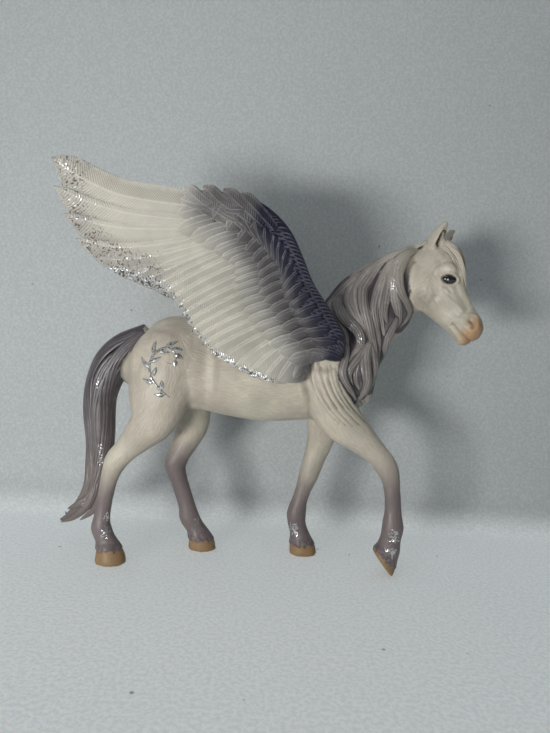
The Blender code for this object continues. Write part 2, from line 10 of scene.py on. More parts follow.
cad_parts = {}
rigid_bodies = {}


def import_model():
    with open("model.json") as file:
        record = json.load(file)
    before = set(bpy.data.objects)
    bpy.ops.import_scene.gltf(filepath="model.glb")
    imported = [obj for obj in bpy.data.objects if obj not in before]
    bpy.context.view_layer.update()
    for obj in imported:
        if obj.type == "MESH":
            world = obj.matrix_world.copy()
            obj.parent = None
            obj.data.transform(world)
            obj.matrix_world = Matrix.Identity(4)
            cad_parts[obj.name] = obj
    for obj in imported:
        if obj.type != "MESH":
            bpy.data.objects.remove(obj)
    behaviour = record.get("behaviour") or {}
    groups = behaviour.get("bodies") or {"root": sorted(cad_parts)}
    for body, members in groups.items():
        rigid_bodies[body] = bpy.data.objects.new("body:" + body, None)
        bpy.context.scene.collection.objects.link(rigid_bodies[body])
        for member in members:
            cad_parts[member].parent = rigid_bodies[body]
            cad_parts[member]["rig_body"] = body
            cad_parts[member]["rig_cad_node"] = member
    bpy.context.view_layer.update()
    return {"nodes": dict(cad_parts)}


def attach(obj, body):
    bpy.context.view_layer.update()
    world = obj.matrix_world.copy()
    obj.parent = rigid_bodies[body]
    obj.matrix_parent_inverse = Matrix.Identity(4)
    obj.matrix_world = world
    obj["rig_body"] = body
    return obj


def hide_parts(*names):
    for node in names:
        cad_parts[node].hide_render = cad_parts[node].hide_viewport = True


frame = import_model()
bpy.ops.object.select_all(action="DESELECT")

# Camera and light.
# The figurine stands on a pale sweep and is seen from its right side, a hand's width away,
# with a large soft lamp low on the left and a weaker one above.
MM = 0.001
AIM = Vector((2.98, 0.0, 68.7)) * MM
CAMERA_DISTANCE = 192.5 * MM
CAMERA_ELEVATION = math.radians(2.0)
CAMERA_ROLL = math.radians(2.9)
SENSOR = 36.0
FOCAL_PIXELS = 550.0
PICTURE_HEIGHT = 733.0

forward = Vector((0.0, math.cos(CAMERA_ELEVATION), -math.sin(CAMERA_ELEVATION)))
level = Vector((1.0, 0.0, 0.0))
upright = level.cross(forward)
camera_right = level * math.cos(CAMERA_ROLL) + upright * math.sin(CAMERA_ROLL)
camera_up = upright * math.cos(CAMERA_ROLL) - level * math.sin(CAMERA_ROLL)
bpy.ops.object.camera_add()
camera = bpy.context.object
camera.name = "camera"
camera.data.sensor_width = SENSOR
camera.data.lens = SENSOR * FOCAL_PIXELS / PICTURE_HEIGHT
camera.data.clip_start = MM
placed = Matrix((camera_right, camera_up, -forward)).transposed().to_4x4()
placed.translation = AIM - forward * CAMERA_DISTANCE
camera.matrix_world = placed
scene = bpy.context.scene
scene.camera = camera
scene.view_settings.view_transform = "Standard"


def soft_lamp(name, place, size, watts, colour):
    """A square lamp that looks at the middle of the figurine."""
    bpy.ops.object.light_add(type="AREA", location=Vector(place) * MM)
    lamp = bpy.context.object
    lamp.name = name
    lamp.data.size = size * MM
    lamp.data.energy = watts
    lamp.data.color = colour
    lamp.rotation_euler = (AIM - lamp.location).to_track_quat("-Z", "Y").to_euler()


soft_lamp("lamp_low_left", (-165.0, -330.0, -10.0), 105.0, 1.70, (1.0, 0.99, 0.97))
soft_lamp("lamp_above", (-60.0, -200.0, 420.0), 260.0, 0.16, (0.97, 0.99, 1.0))
world = bpy.data.worlds.new("room")
scene.world = world
world.use_nodes = True
world.node_tree.nodes["Background"].inputs["Color"].default_value = (0.90, 0.95, 1.0, 1.0)
world.node_tree.nodes["Background"].inputs["Strength"].default_value = 0.17


class Paint:
    """The nodes of a paint or of a shared effect, and the place on the piece that they read."""

    def __init__(self, tree, place=None):
        self.tree = tree
        self.place = self.node("TexCoord").outputs["Object"] if place is None else place

    def feed(self, socket, value):
        """Give a socket a plain value, or link it to another node's output."""
        if isinstance(value, bpy.types.NodeSocket):
            self.tree.links.new(value, socket)
        elif hasattr(value, "__len__") and len(value) == 3 and socket.type == "RGBA":
            socket.default_value = (*value, 1.0)
        else:
            socket.default_value = value

    def node(self, kind, sockets=(), **options):
        """A node with its options and sockets set. Sockets are named or numbered."""
        made = self.tree.nodes.new("ShaderNode" + kind)
        for option, value in options.items():
            setattr(made, option, value)
        for key, value in dict(sockets).items():
            self.feed(made.inputs[key], value)
        return made

    def mix(self, share, first, second, blend="MIX"):
        """A colour between two others."""
        sockets = {0: share, 6: first, 7: second}
        return self.node("Mix", sockets, data_type="RGBA", blend_type=blend).outputs[2]

    def sums(self, operation, first, second):
        return self.node("Math", {0: first, 1: second}, operation=operation).outputs[0]

    def times(self, first, second):
        return self.sums("MULTIPLY", first, second)

    def larger(self, first, second):
        return self.sums("MAXIMUM", first, second)

    def ramp(self, value, low, high, start=0.0, end=1.0):
        """A clamped slope from start to end as the value goes from low to high."""
        sockets = {0: value, 1: low, 2: high, 3: start, 4: end}
        return self.node("MapRange", sockets, clamp=True, interpolation_type="SMOOTHSTEP").outputs[0]

    def noise(self, fineness, detail=2.0, roughness=0.5):
        """A noise value; fineness is in bumps per millimetre."""
        sockets = {"Vector": self.place, "Scale": fineness / MM, "Detail": detail, "Roughness": roughness}
        return self.node("TexNoise", sockets).outputs["Fac"]

    def mask(self, name, output="Fac"):
        """A mask kept on the piece's points."""
        return self.node("Attribute", attribute_name=name).outputs[output]

    def bump(self, height, strength, depth, under=None):
        """Fine relief, its depth in millimetres, laid over another relief if one is given."""
        sockets = {"Height": height, "Strength": strength, "Distance": depth * MM}
        if under is not None:
            sockets["Normal"] = under
        return self.node("Bump", sockets).outputs[0]

    def use(self, effect, sockets):
        """Place a shared effect."""
        return self.node("Group", {"Place": self.place, **sockets}, node_tree=effect.tree).outputs

    def finish(self, sockets):
        """Feed the shader's own sockets."""
        shader = self.tree.nodes["Principled BSDF"]
        for name, value in sockets.items():
            self.feed(shader.inputs[name], value)


def new_paint(name):
    material = bpy.data.materials.new(name)
    material.use_nodes = True
    return material, Paint(material.node_tree)


def face_outwards(thing):
    """Turn all the faces of a piece outwards."""
    bpy.ops.object.select_all(action="DESELECT")
    thing.select_set(True)
    bpy.context.view_layer.objects.active = thing
    bpy.ops.object.mode_set(mode="EDIT")
    bpy.ops.mesh.select_all(action="SELECT")
    bpy.ops.mesh.normals_make_consistent(inside=False)
    bpy.ops.object.mode_set(mode="OBJECT")
    thing.data.shade_smooth()


# The sweep: one sheet of pale card, bent up behind the figurine. It shows from the front only.
SWEEP_BACK = 52.0
SWEEP_FRONT = 400.0
SWEEP_BEND = 18.0
bpy.ops.mesh.primitive_plane_add(size=1.0)
sweep = bpy.context.object
sweep.name = "sweep"
bpy.ops.object.mode_set(mode="EDIT")
bpy.ops.transform.resize(value=(1.6, (SWEEP_FRONT + SWEEP_BACK) * MM, 1.0))
bpy.ops.transform.translate(value=(0.0, (SWEEP_BACK - SWEEP_FRONT) / 2 * MM, -0.02 * MM))
bpy.ops.mesh.select_all(action="DESELECT")
bpy.ops.object.mode_set(mode="OBJECT")
for edge in sweep.data.edges:
    edge.select = all(sweep.data.vertices[v].co.y > 0 for v in edge.vertices)
bpy.ops.object.mode_set(mode="EDIT")
bpy.ops.mesh.select_mode(type="EDGE")
bpy.ops.mesh.extrude_region_move(TRANSFORM_OT_translate={"value": (0.0, 0.0, 0.6)})
bpy.ops.object.mode_set(mode="OBJECT")
for edge in sweep.data.edges:
    ends = [sweep.data.vertices[v].co for v in edge.vertices]
    edge.select = all(end.y > 0 and end.z < MM for end in ends)
bpy.ops.object.mode_set(mode="EDIT")
bpy.ops.mesh.bevel(offset=SWEEP_BEND * MM, segments=24)
bpy.ops.object.mode_set(mode="OBJECT")
face_outwards(sweep)
if sweep.data.polygons[0].normal.dot((0.0, -1.0, 1.0)) < 0:
    sweep.data.flip_normals()
card, paint = new_paint("pale_card")
grain = paint.noise(0.9, 3.0, 0.6)
colour = paint.mix(paint.ramp(grain, 0.35, 0.7), (0.60, 0.635, 0.64), (0.71, 0.745, 0.75))
dots = paint.node("TexVoronoi", {"Vector": paint.place, "Scale": 0.085 / MM}).outputs
chance = paint.node("SeparateColor", {0: dots["Color"]}).outputs[0]
speck = paint.times(paint.ramp(dots["Distance"], 0.025, 0.06, 0.75, 0.0), paint.ramp(chance, 0.4, 0.8))
colour = paint.mix(speck, colour, (0.14, 0.155, 0.16))
height = paint.node("SeparateXYZ", {0: paint.place}).outputs[2]
rays = paint.node("LightPath").outputs
seen = paint.larger(rays["Is Camera Ray"], paint.larger(rays["Is Glossy Ray"], rays["Is Transmission Ray"]))
paint.finish({
    "Base Color": colour,
    "Roughness": 0.75,
    "Normal": paint.bump(grain, 0.5, 0.3),
    "Emission Color": paint.mix(paint.ramp(height, -3 * MM, 10 * MM), colour, (0.0, 0.0, 0.0)),
    "Emission Strength": paint.times(seen, 0.46),
})
behind = paint.node("NewGeometry").outputs["Backfacing"]
clear = paint.node("BsdfTransparent").outputs[0]
front = card.node_tree.nodes["Principled BSDF"].outputs[0]
shown = paint.node("MixShader", {0: behind, 1: front, 2: clear}).outputs[0]
paint.feed(card.node_tree.nodes["Material Output"].inputs["Surface"], shown)
sweep.data.materials.append(card)


# Body moulding.
# One moulding in pearl ivory plastic: trunk, neck, head and legs. The form is the frame's own body,
# ironed smooth and then worked over in finer and finer skins, as a wax model would be.
COARSE_SKIN = 0.6
FINE_SKIN = 0.34
SKIN_FACES = 190000
COARSE_IRONING = 16
FINE_IRONING = 3
HEAD_MIDDLE = (12.0, 0.0, 0.0)
POLL = np.array((53.98, -3.0, 107.0))
HEAD_TURN = math.radians(28.0)
HEAD_PITCH = math.radians(55.7)
DOWN_FACE = np.array((math.cos(HEAD_PITCH) * math.cos(HEAD_TURN),
                      -math.cos(HEAD_PITCH) * math.sin(HEAD_TURN),
                      -math.sin(HEAD_PITCH)))
FOREHEAD = np.array((math.sin(HEAD_PITCH) * math.cos(HEAD_TURN), -math.sin(HEAD_PITCH) * math.sin(HEAD_TURN),
                     math.cos(HEAD_PITCH)))
CHEEK = np.array((-math.sin(HEAD_TURN), -math.cos(HEAD_TURN), 0.0))
HEAD_AXES = np.array((DOWN_FACE, FOREHEAD, CHEEK))


def read_mesh(items, name, kind, width):
    values = np.empty(len(items) * width, kind)
    items.foreach_get(name, values)
    return values.reshape(-1, width)


def points_of(thing):
    """A mesh's points in millimetres."""
    return read_mesh(thing.data.vertices, "co", np.float32, 3).astype(float) / MM


def set_points(thing, points):
    thing.data.vertices.foreach_set("co", (points * MM).astype(np.float32).ravel())
    thing.data.update()


def normals_of(thing):
    return read_mesh(thing.data.vertex_normals, "vector", np.float32, 3).astype(float)


def edges_of(thing):
    return read_mesh(thing.data.edges, "vertices", np.int32, 2)


def mark(thing, name, values):
    """Keep a paint mask on a piece's points."""
    if name in thing.data.attributes:
        thing.data.attributes.remove(thing.data.attributes[name])
    layer = thing.data.attributes.new(name, "FLOAT", "POINT")
    layer.data.foreach_set("value", np.asarray(values, np.float32))


def neighbours_mean(points, edges):
    """The mean of the points next to each point."""
    first, second = edges.T
    size = len(points)
    count = np.bincount(edges.ravel(), minlength=size)
    total = [np.bincount(first, column[second], size) + np.bincount(second, column[first], size)
             for column in points.T]
    return np.stack(total, axis=1) / count[:, None]


def iron(thing, rounds, where=None):
    """Smooth facets away without shrinking the form."""
    points = points_of(thing)
    edges = edges_of(thing)
    share = 1.0 if where is None else where(points)[:, None]
    for step in (0.5, -0.53) * rounds:
        points += step * share * (neighbours_mean(points, edges) - points)
    set_points(thing, points)


def reskin(thing, size):
    """Give the form one even skin of small faces."""
    skin = thing.modifiers.new("skin", "REMESH")
    skin.mode = "VOXEL"
    skin.voxel_size = size * MM
    bpy.context.view_layer.objects.active = thing
    bpy.ops.object.modifier_apply(modifier=skin.name)


def bell(distance):
    """1 at no distance, falling smoothly to 0 at a distance of 1."""
    return np.clip(1.0 - distance ** 2, 0.0, 1.0) ** 2


def slope(value, low, high):
    """0 at low, 1 at high, smooth between."""
    t = np.clip((value - low) / (high - low), 0.0, 1.0)
    return t * t * (3 - 2 * t)


def spotted(points, spots, reach):
    """1 at each spot, fading to 0 at its reach along each axis."""
    return np.max([bell(np.linalg.norm((points - spot) / reach, axis=1)) for spot in spots], axis=0)


def line_distance(points, line):
    """How far each point lies from a line of points, in as many directions as the line has."""
    line = np.array(line, float)
    nearest = np.full(len(points), 1e9)
    for start, end in zip(line, line[1:]):
        run = end - start
        share = np.clip((points - start) @ run / (run @ run), 0.0, 1.0)
        nearest = np.minimum(nearest, np.linalg.norm(points - start - share[:, None] * run, axis=1))
    return nearest


def smooth_line(points, steps):
    """More points on a soft curve through the given ones."""
    points = np.array(points, float)
    padded = np.vstack([2 * points[0] - points[1], points, 2 * points[-1] - points[-2]])
    t = np.arange(steps)[:, None] / steps
    runs = []
    for a, b, c, d in zip(padded, padded[1:], padded[2:], padded[3:]):
        bend = 2 * a - 5 * b + 4 * c - d
        runs.append(0.5 * (2 * b + (c - a) * t + bend * t ** 2 + (3 * b - a - 3 * c + d) * t ** 3))
    return np.vstack([*runs, points[-1:]])


def add_rings(bm, rings):
    """One closed body through rings of points."""
    loops = [[bm.verts.new(point) for point in ring] for ring in rings]
    count = len(loops[0])
    for low, high in zip(loops, loops[1:]):
        for k in range(count):
            bm.faces.new((low[k], low[(k + 1) % count], high[(k + 1) % count], high[k]))
    bm.faces.new(loops[0][::-1])
    bm.faces.new(loops[-1])


def new_piece(name, bm):
    """A mesh piece from points in millimetres, faces outwards."""
    bmesh.ops.scale(bm, vec=(MM, MM, MM), verts=bm.verts)
    bmesh.ops.recalc_face_normals(bm, faces=bm.faces)
    mesh = bpy.data.meshes.new(name)
    bm.to_mesh(mesh)
    bm.free()
    piece = bpy.data.objects.new(name, mesh)
    scene.collection.objects.link(piece)
    mesh.shade_smooth()
    return piece


hide = frame["nodes"]["body"].copy()
hide.data = hide.data.copy()
hide.parent = None
hide.name = "hide"
hide.data.materials.clear()
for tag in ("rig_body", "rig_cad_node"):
    if tag in hide:
        del hide[tag]
scene.collection.objects.link(hide)
bpy.ops.object.select_all(action="DESELECT")
bpy.context.view_layer.objects.active = hide
hide.select_set(True)
bpy.ops.object.mode_set(mode="EDIT")
bpy.ops.mesh.select_all(action="SELECT")
bpy.ops.mesh.remove_doubles(threshold=0.005 * MM)
bpy.ops.object.mode_set(mode="OBJECT")

# The ears are thin cups: the frame's solid ears are drawn in to the back wall of each cup.
EAR_ROWS = (
    (-3, 2.2, 3.3, 3.5, 1.9),
    (-3.4, 4.2, 3.9, 3.1, 2),
    (-4.2, 6.6, 4.7, 2.7, 1.9),
    (-5.2, 9, 5.6, 2, 1.45),
    (-5.9, 11, 6.2, 1.2, 0.95),
    (-6.3, 12.6, 6.5, 0.35, 0.35),
)
EAR_OPENING = math.radians(38.0)
EAR_FACES_OUT = math.radians(24.0)
EAR_WALL = 0.75
EAR_POINTS = 22
EAR_FLOOR = 4


def to_head(points):
    """Places in the head's own axes: down the face, out of the forehead, out of the right cheek."""
    return (points - POLL) @ HEAD_AXES.T


def from_head(places):
    return places @ HEAD_AXES + POLL


def ear_share(places):
    """How far up an ear a place in head axes is, and its offset from the ear's middle line."""
    rows = np.array(EAR_ROWS)
    run = rows[-1, :3] - rows[0, :3]
    mirrored = places.copy()
    mirrored[:, 2] = np.abs(mirrored[:, 2])
    share = (mirrored - rows[0, :3]) @ run / (run @ run)
    middle = rows[0, :3] + np.clip(share, 0.0, 1.0)[:, None] * run
    return share, mirrored - middle


places = to_head(points_of(hide))
share, offset = ear_share(places)
ear = (share > 0.18) & (np.linalg.norm(offset, axis=1) < 5.0) & (places[:, 1] > 4.6)
drawn = np.clip((share - 0.18) / 0.15, 0.0, 1.0) * ear
side = np.sign(places[:, 2])
into_wall = 0.12 * offset + (-1.3, -0.5, 0.0) - offset
into_wall[:, 2] *= side
set_points(hide, from_head(places + into_wall * drawn[:, None]))

for side in (1, -1):
    bm = bmesh.new()
    rings = []
    rows = smooth_line(EAR_ROWS, 5)
    for k, (*centre, wide, thick) in enumerate(rows):
        ahead = rows[min(k + 1, len(rows) - 1), :3] - rows[max(k - 1, 0), :3]
        ahead /= np.linalg.norm(ahead)
        out = np.array((0.0, 0.0, 1.0)) - ahead * ahead[2]
        out /= np.linalg.norm(out)
        front = np.cross(ahead, out)
        front *= np.sign(front[0])
        hollow = min(1.0, k / 8.0) * EAR_OPENING + 0.02
        bend = np.linspace(EAR_FACES_OUT + hollow, EAR_FACES_OUT + 2 * math.pi - hollow, EAR_POINTS)[:, None]
        wall = min(EAR_WALL, 0.7 * thick)
        outer = centre + front * wide * np.cos(bend) + out * thick * np.sin(bend)
        inner = (centre + front * (wide - wall) * np.cos(bend) + out * (thick - wall) * np.sin(bend))[::-1]
        if k < EAR_FLOOR:
            floor = centre + front * wide * (1 - 0.02 * k) * math.cos(EAR_FACES_OUT)
            inner = floor + 0.05 * k * (inner - centre)
        rings.append(from_head(np.vstack([outer, inner]) * (1.0, 1.0, side)))
    add_rings(bm, rings)
    cup = new_piece("ear", bm)
    cup.select_set(True)
bpy.context.view_layer.objects.active = hide
bpy.ops.object.join()
reskin(hide, COARSE_SKIN)


def away_from_head(points):
    """Full ironing on the trunk and legs, light on the head and none on the ears."""
    places = to_head(points)
    head = bell(np.linalg.norm((places - HEAD_MIDDLE) / (24.0, 13.0, 9.0), axis=1))
    share, offset = ear_share(places)
    ear = (share > 0.1) & (share < 1.2) & (np.linalg.norm(offset, axis=1) < 5.0)
    return np.where(ear, 0.12, 1.0 - 0.5 * np.clip(3 * head, 0.0, 1.0))


iron(hide, COARSE_IRONING, away_from_head)
reskin(hide, FINE_SKIN)
iron(hide, FINE_IRONING)

# Working over the fine skin: every touch is a place, its reach and how far the wax moves, in mm.
points = points_of(hide)
normals = normals_of(hide)
# Painted shade: how dark each point is painted for lying in a sunk groove or hollow.
hollow_shade = np.zeros(len(points))


def touch(where, along, amount):
    """Move some of the skin along its normals; where it sinks, painted shade is left in the hollow."""
    points[where] += normals[where] * (along * amount)[:, None]
    if amount < 0:
        hollow_shade[where] = np.maximum(hollow_shade[where], along * min(1.0, -amount * 2.0))


def stroke(line, reach, amount, side):
    """Draw a groove or a ridge down one flank, given as points of x and z."""
    near = np.nonzero((points[:, 1] * side > 0) & (normals[:, 1] * side > 0.05))[0]
    gap = line_distance(points[near][:, (0, 2)], smooth_line(line, 4))
    touch(near, bell(gap / reach), amount)


FLANK_GROOVE = ((-20.9, 76.5), (-20.2, 70), (-20.3, 65.2), (-20.6, 60.2), (-21.2, 55.5))
ELBOW_GROOVE = ((12.6, 66.5), (13.6, 62.5), (14.7, 58.6), (15.3, 53.2), (18.2, 49.2), (20.6, 46.1),
                (24, 43.9))
for side in (-1, 1):
    stroke(FLANK_GROOVE, 3.2, -0.28, side)
    stroke(((-17.5, 75.0), (-17.0, 66.0), (-17.5, 59.0)), 2.4, 0.3, side)
stroke(ELBOW_GROOVE, 1.4, -0.22, -1)
stroke([(x - 1.6, z - 0.6) for x, z in ELBOW_GROOVE[:3]], 1.2, 0.25, -1)
stroke([(x + 1.9, z + 0.8) for x, z in ELBOW_GROOVE[2:]], 1.6, 0.3, -1)

SHOULDER_STROKES = 15
SHOULDER_HAIR = (((14, 71), (14.6, 66), (16.6, 60.5), (20, 55.5), (24.5, 51.5)),
                 ((28, 70), (30, 65), (33, 60.5), (37, 56.5), (41, 52.5)))
for k in range(SHOULDER_STROKES):
    share = (k + 0.5) / SHOULDER_STROKES
    fall = (1 - share) * np.array(SHOULDER_HAIR[0]) + share * np.array(SHOULDER_HAIR[1])
    fall = fall[k % 3 // 2:5 - (k % 2)] + (0.0, 0.9 * math.sin(2.7 * k))
    for side in (-1, 1):
        stroke(fall, 0.55, -0.24, side)

# Head: eye sockets with raised lids, cheek discs, facial crests, nostrils and mouth.
EYE = np.array((9.85, 2.9))
EYE_TILT = math.radians(49.0)
EYE_LONG_WAY = (math.cos(EYE_TILT), math.sin(EYE_TILT))
EYE_SHORT_WAY = (math.sin(EYE_TILT), -math.cos(EYE_TILT))
EYE_HALF = (2.2, 1.6)
normals = normals_of(hide)
places = to_head(points)
head = np.nonzero((places[:, 0] > -9) & (places[:, 0] < 34) & (np.abs(places[:, 1]) < 15)
                  & (np.abs(places[:, 2]) < 11) & (points[:, 0] > 36))[0]
flat = places[head][:, :2]
outward = normals[head] @ HEAD_AXES.T
sideways = np.clip(outward[:, 2] * np.sign(places[head][:, 2]) * 3.0, 0.0, 1.0)


def face_stroke(line, reach, amount, all_round=False):
    gap = line_distance(flat, smooth_line(line, 4))
    touch(head, bell(gap / reach) * (1.0 if all_round else sideways), amount)


def face_spot(place, reach, amount):
    gap = np.linalg.norm((flat - place) / reach, axis=1)
    touch(head, bell(gap) * sideways, amount)


along = flat - EYE
turned = along @ np.array((EYE_LONG_WAY, EYE_SHORT_WAY)).T
ring = np.linalg.norm(turned / EYE_HALF, axis=1)
touch(head, bell((ring - 1.22) / 0.3) * sideways, 0.42)
touch(head, np.clip((1.1 - ring) / 0.2, 0.0, 1.0) * sideways, -0.5)
face_stroke(((5.4, 1.4), (5.7, 4.0), (7.3, 6.0), (9.6, 6.8)), 1.7, 0.45)
face_stroke(((11.3, -0.5), (12.5, 0.1), (13.6, 0.5)), 0.7, 0.28)
face_stroke(((11.0, 0.5), (12.2, 1.1), (13.4, 1.4)), 0.6, -0.22)
face_spot((3.0, 3.4), (2.2, 2.2), -0.4)
face_stroke(((-1.4, -3.4), (2.1, -6.9), (7.2, -10.6), (10.9, -11.9)), 1.3, -0.6)
face_spot((6.5, -5.0), (6.0, 5.2), 0.5)
face_stroke(((12.4, -3.6), (13.4, -6.0), (13.6, -8.6)), 1.6, -0.35)
face_stroke(((13.2, -0.9), (16.0, -0.3), (18.4, 0.5), (20.8, 0.8)), 1.1, 0.4)
face_stroke(((15.5, -2.6), (18.5, -2.0), (21.0, -1.4)), 1.4, -0.25)
face_stroke(((12.5, 3.2), (16.0, 2.8), (20.5, 2.9)), 1.5, -0.42)
NOSTRIL_RIM = ((25.3, 0.0), (24.0, 0.3), (23.4, 1.3), (23.3, 2.4), (23.9, 3.2), (25.0, 3.5), (26.3, 3.1),
               (27.3, 2.4))
NOSTRIL_HOLE = ((25.2, 1.4), (26.2, 1.5), (27.2, 0.9))
face_stroke(((21.9, -0.6), (21.7, 1.8), (22.4, 3.8)), 0.9, -0.25)
face_stroke(NOSTRIL_RIM, 0.85, 0.5)
face_stroke(NOSTRIL_HOLE, 0.85, -1.15)
face_stroke(((22.4, -4.2), (23.4, -3.7), (25.2, -3.6), (27.0, -3.2), (28.9, -2.7), (31.5, -2.2)), 0.55, -0.5,
            True)
face_stroke(((23.0, -2.8), (25.5, -2.4), (28.0, -1.8)), 0.9, 0.28)
face_stroke(((22.6, -5.2), (24.8, -5.0), (27.4, -4.7), (29.4, -4.0)), 0.9, 0.3, True)
face_stroke(((21.6, -3.4), (21.9, -4.6), (22.8, -5.6)), 0.7, 0.25)

# Hooves: the hair ends in a raised band over each hoof. A hoof's band is a point and a slope.
HOOVES = (
    ((-49.0, -8.5), 4.6, 0.04),
    ((-20.6, 8.5), 3.5, 0.0),
    ((17.0, 8.5), 3.6, 0.0),
)
RAISED_HOOF = (42.5, 6.7)
RAISED_BAND = (math.sin(math.radians(41.0)), math.cos(math.radians(41.0)))


def above_coronet(points):
    """How far above the top of its hoof each point is."""
    height = np.full(len(points), 50.0)
    for (x, y), top, slant in HOOVES:
        near = (np.abs(points[:, 0] - x) < 9) & (np.abs(points[:, 1] - y) < 8) & (points[:, 2] < 16)
        height[near] = (points[:, 2] - top - slant * (points[:, 0] - x))[near]
    near = (points[:, 0] > 34) & (points[:, 2] < 18) & (points[:, 1] < 0)
    forwards, upwards = points[:, 0] - RAISED_HOOF[0], points[:, 2] - RAISED_HOOF[1]
    raised = forwards * RAISED_BAND[0] + upwards * RAISED_BAND[1]
    height[near] = raised[near]
    return height


set_points(hide, points)
normals = normals_of(hide)
everywhere = np.arange(len(points))
height = above_coronet(points)
touch(everywhere, np.clip(height / 0.35, 0.0, 1.0) * np.clip((2.6 - height) / 2.2, 0.0, 1.0), 0.3)
points[:, 2] = np.maximum(points[:, 2], 0.0)
set_points(hide, points)

mark(hide, "hollow_shade", hollow_shade)
thin = hide.modifiers.new("thin", "DECIMATE")
thin.ratio = min(1.0, SKIN_FACES / (2 * len(hide.data.polygons)))
bpy.context.view_layer.objects.active = hide
bpy.ops.object.modifier_apply(modifier=thin.name)
hide.data.shade_smooth()
hide_faces = [list(face.vertices) for face in hide.data.polygons]
hide_tree = BVHTree.FromPolygons([vertex.co / MM for vertex in hide.data.vertices], hide_faces)

# Under the loose locks the tail is drawn in and painted dark: tail paint with painted shade between the
# locks. Its middle line: x, y, z, half widths.
TAIL_MIDDLE = (
    (-41, 0.5, 79, 3, 3), (-45.5, 0.8, 76, 4.2, 4.2), (-50.3, 1.2, 72.2, 5.6, 4.9),
    (-54.4, 1.6, 67, 6.2, 5.2), (-57, 2, 61, 5.8, 5.2), (-58.4, 2.4, 55, 5.4, 5),
    (-58.6, 2.8, 49, 5.3, 4.8), (-58.2, 3, 43, 5, 4.6), (-57.9, 3.2, 37, 4.5, 4.2),
    (-58.2, 3.2, 31, 4.2, 3.9), (-58.9, 3, 25.5, 4, 3.5), (-60.4, 2.8, 20.6, 3.5, 3),
    (-63.4, 2.4, 16, 2.6, 2.3), (-67.2, 2, 12.4, 1.5, 1.4), (-70.6, 1.6, 10.2, 0.5, 0.5),
)
DRAWN_IN = 0.72
middle = smooth_line(TAIL_MIDDLE, 5)
points = points_of(hide)
zone = np.nonzero((points[:, 0] < -43.0) & (points[:, 1] > -7.0) & (points[:, 2] < 82.0))[0]
gaps = np.linalg.norm(points[zone][:, None] - middle[None, :, :3], axis=2)
closest = np.argmin(gaps, axis=1)
gap = gaps[np.arange(len(zone)), closest]
girth = 0.5 * (middle[closest, 3] + middle[closest, 4])
in_tail = gap < 1.35 * girth + 0.6
on_tail = np.zeros(len(points))
on_tail[zone[in_tail]] = 1.0
sunk = np.minimum(1.0, (DRAWN_IN * girth) / np.maximum(gap, 0.1)) ** slope(middle[closest, 2], 79.0, 73.0)
centre = middle[closest, :3]
points[zone[in_tail]] = (centre + (points[zone] - centre) * sunk[:, None])[in_tail]
set_points(hide, points)

# Paint masks of the body: the dusk airbrushed on the legs, the hooves, the muzzle and the ears.
points = points_of(hide)
normals = normals_of(hide)
edges = edges_of(hide)
places = to_head(points)
bend = np.einsum("ij,ij->i", neighbours_mean(points, edges) - points, normals)[:, None]
for _ in range(2):
    bend = neighbours_mean(bend, edges)
# Painted shade in the hollows: some of the grooves' shade, and more wherever the skin bends inwards.
old_hollow_shade = read_mesh(hide.data.attributes["hollow_shade"].data, "value", np.float32, 1)[:, 0]
cavity = np.clip(bend[:, 0] * 14.0, 0.0, 1.0)
s, t, w = places.T
face = bell(np.linalg.norm((places - HEAD_MIDDLE) / (30.0, 15.0, 12.0), axis=1)) > 0
left_in_strokes = np.where(face, 0.22, 0.5) * old_hollow_shade
mark(hide, "hollow_shade", np.clip(left_in_strokes + np.where(face, 0.6, 1.0) * cavity, 0.0, 1.0))
mark(hide, "coronet", above_coronet(points))
x, y, z = points.T
hind = x < 0
start = np.where(hind, np.where(y < 0, 37.0, 46.0), np.where(y < 0, 47.0, 39.0))
dusk = 1.0 - slope(z, start - np.where(hind, 17.0, 22.0), start)
dock = 0.45 * spotted(points, ((-47.0, 0.0, 74.0),), (9.0, 9.0, 14.0))
mark(hide, "dusk", np.maximum(dusk, dock))
blush = slope(s + 0.35 * t, 23.5, 28.0) * slope(t, -7.5, -3.0)
round_nostril = 0.7 * bell(np.hypot(s - 26.0, t - 1.2) / 3.2)
mark(hide, "blush", np.maximum(blush, round_nostril) * face)
share, offset = ear_share(places)
opening = np.array((math.cos(EAR_FACES_OUT), 0.35, math.sin(EAR_FACES_OUT)))
facing = normals @ HEAD_AXES.T
facing[:, 2] *= np.sign(w)
core = np.linalg.norm(offset * (0.55, 0.55, 1.1), axis=1)
cup = slope(share, 0.02, 0.2) * (1 - slope(share, 0.78, 0.95)) * slope(facing @ opening, 0.1, 0.5)
mark(hide, "ear_cup", cup * (1 - slope(core, 0.9, 1.5)) * face)
FETLOCK_SILVER = ((-50.5, -11.5, 11), (-22, 5, 11), (44.6, -11.5, 9.5),
                  (12.8, 5.5, 9.5), (-50, -11.5, 16), (45.4, -11.5, 14.5))
mark(hide, "silver", spotted(points, FETLOCK_SILVER, (3.4, 4.5, 4.6)))

# The run of the engraved hair: how far along and across its limb each point lies.
LIMBS = (
    (((-48, 0, 72), (-15, 0, 66), (12, 0, 66)), 15, 1),
    (((19, 0, 66), (26, 0, 80), (38, -1, 92), (52, -3, 106)), 10, 0.9),
    (((54, -3, 107), (68, -11, 81)), 7, 0.75),
    (((-32, -9, 72), (-34, -9, 59), (-45, -8.5, 38), (-51, -8.5, 25), (-50, -8.5, 2)), 7, 0.62),
    (((-31, 9, 70), (-25.6, 9, 46), (-31, 8.5, 33), (-25, 8.5, 14), (-20, 8.5, 2)), 6, 0.62),
    (((20, -8, 72), (26, -8.5, 55), (43, -8.5, 39), (46, -8.5, 20), (44, -8.5, 6)), 6, 0.62),
    (((21.5, 7, 64), (20, 8.5, 45), (15, 8.5, 20), (17, 8.5, 2)), 6, 0.62),
)
closest = np.full(len(points), 1e9)
run = np.zeros((len(points), 3))
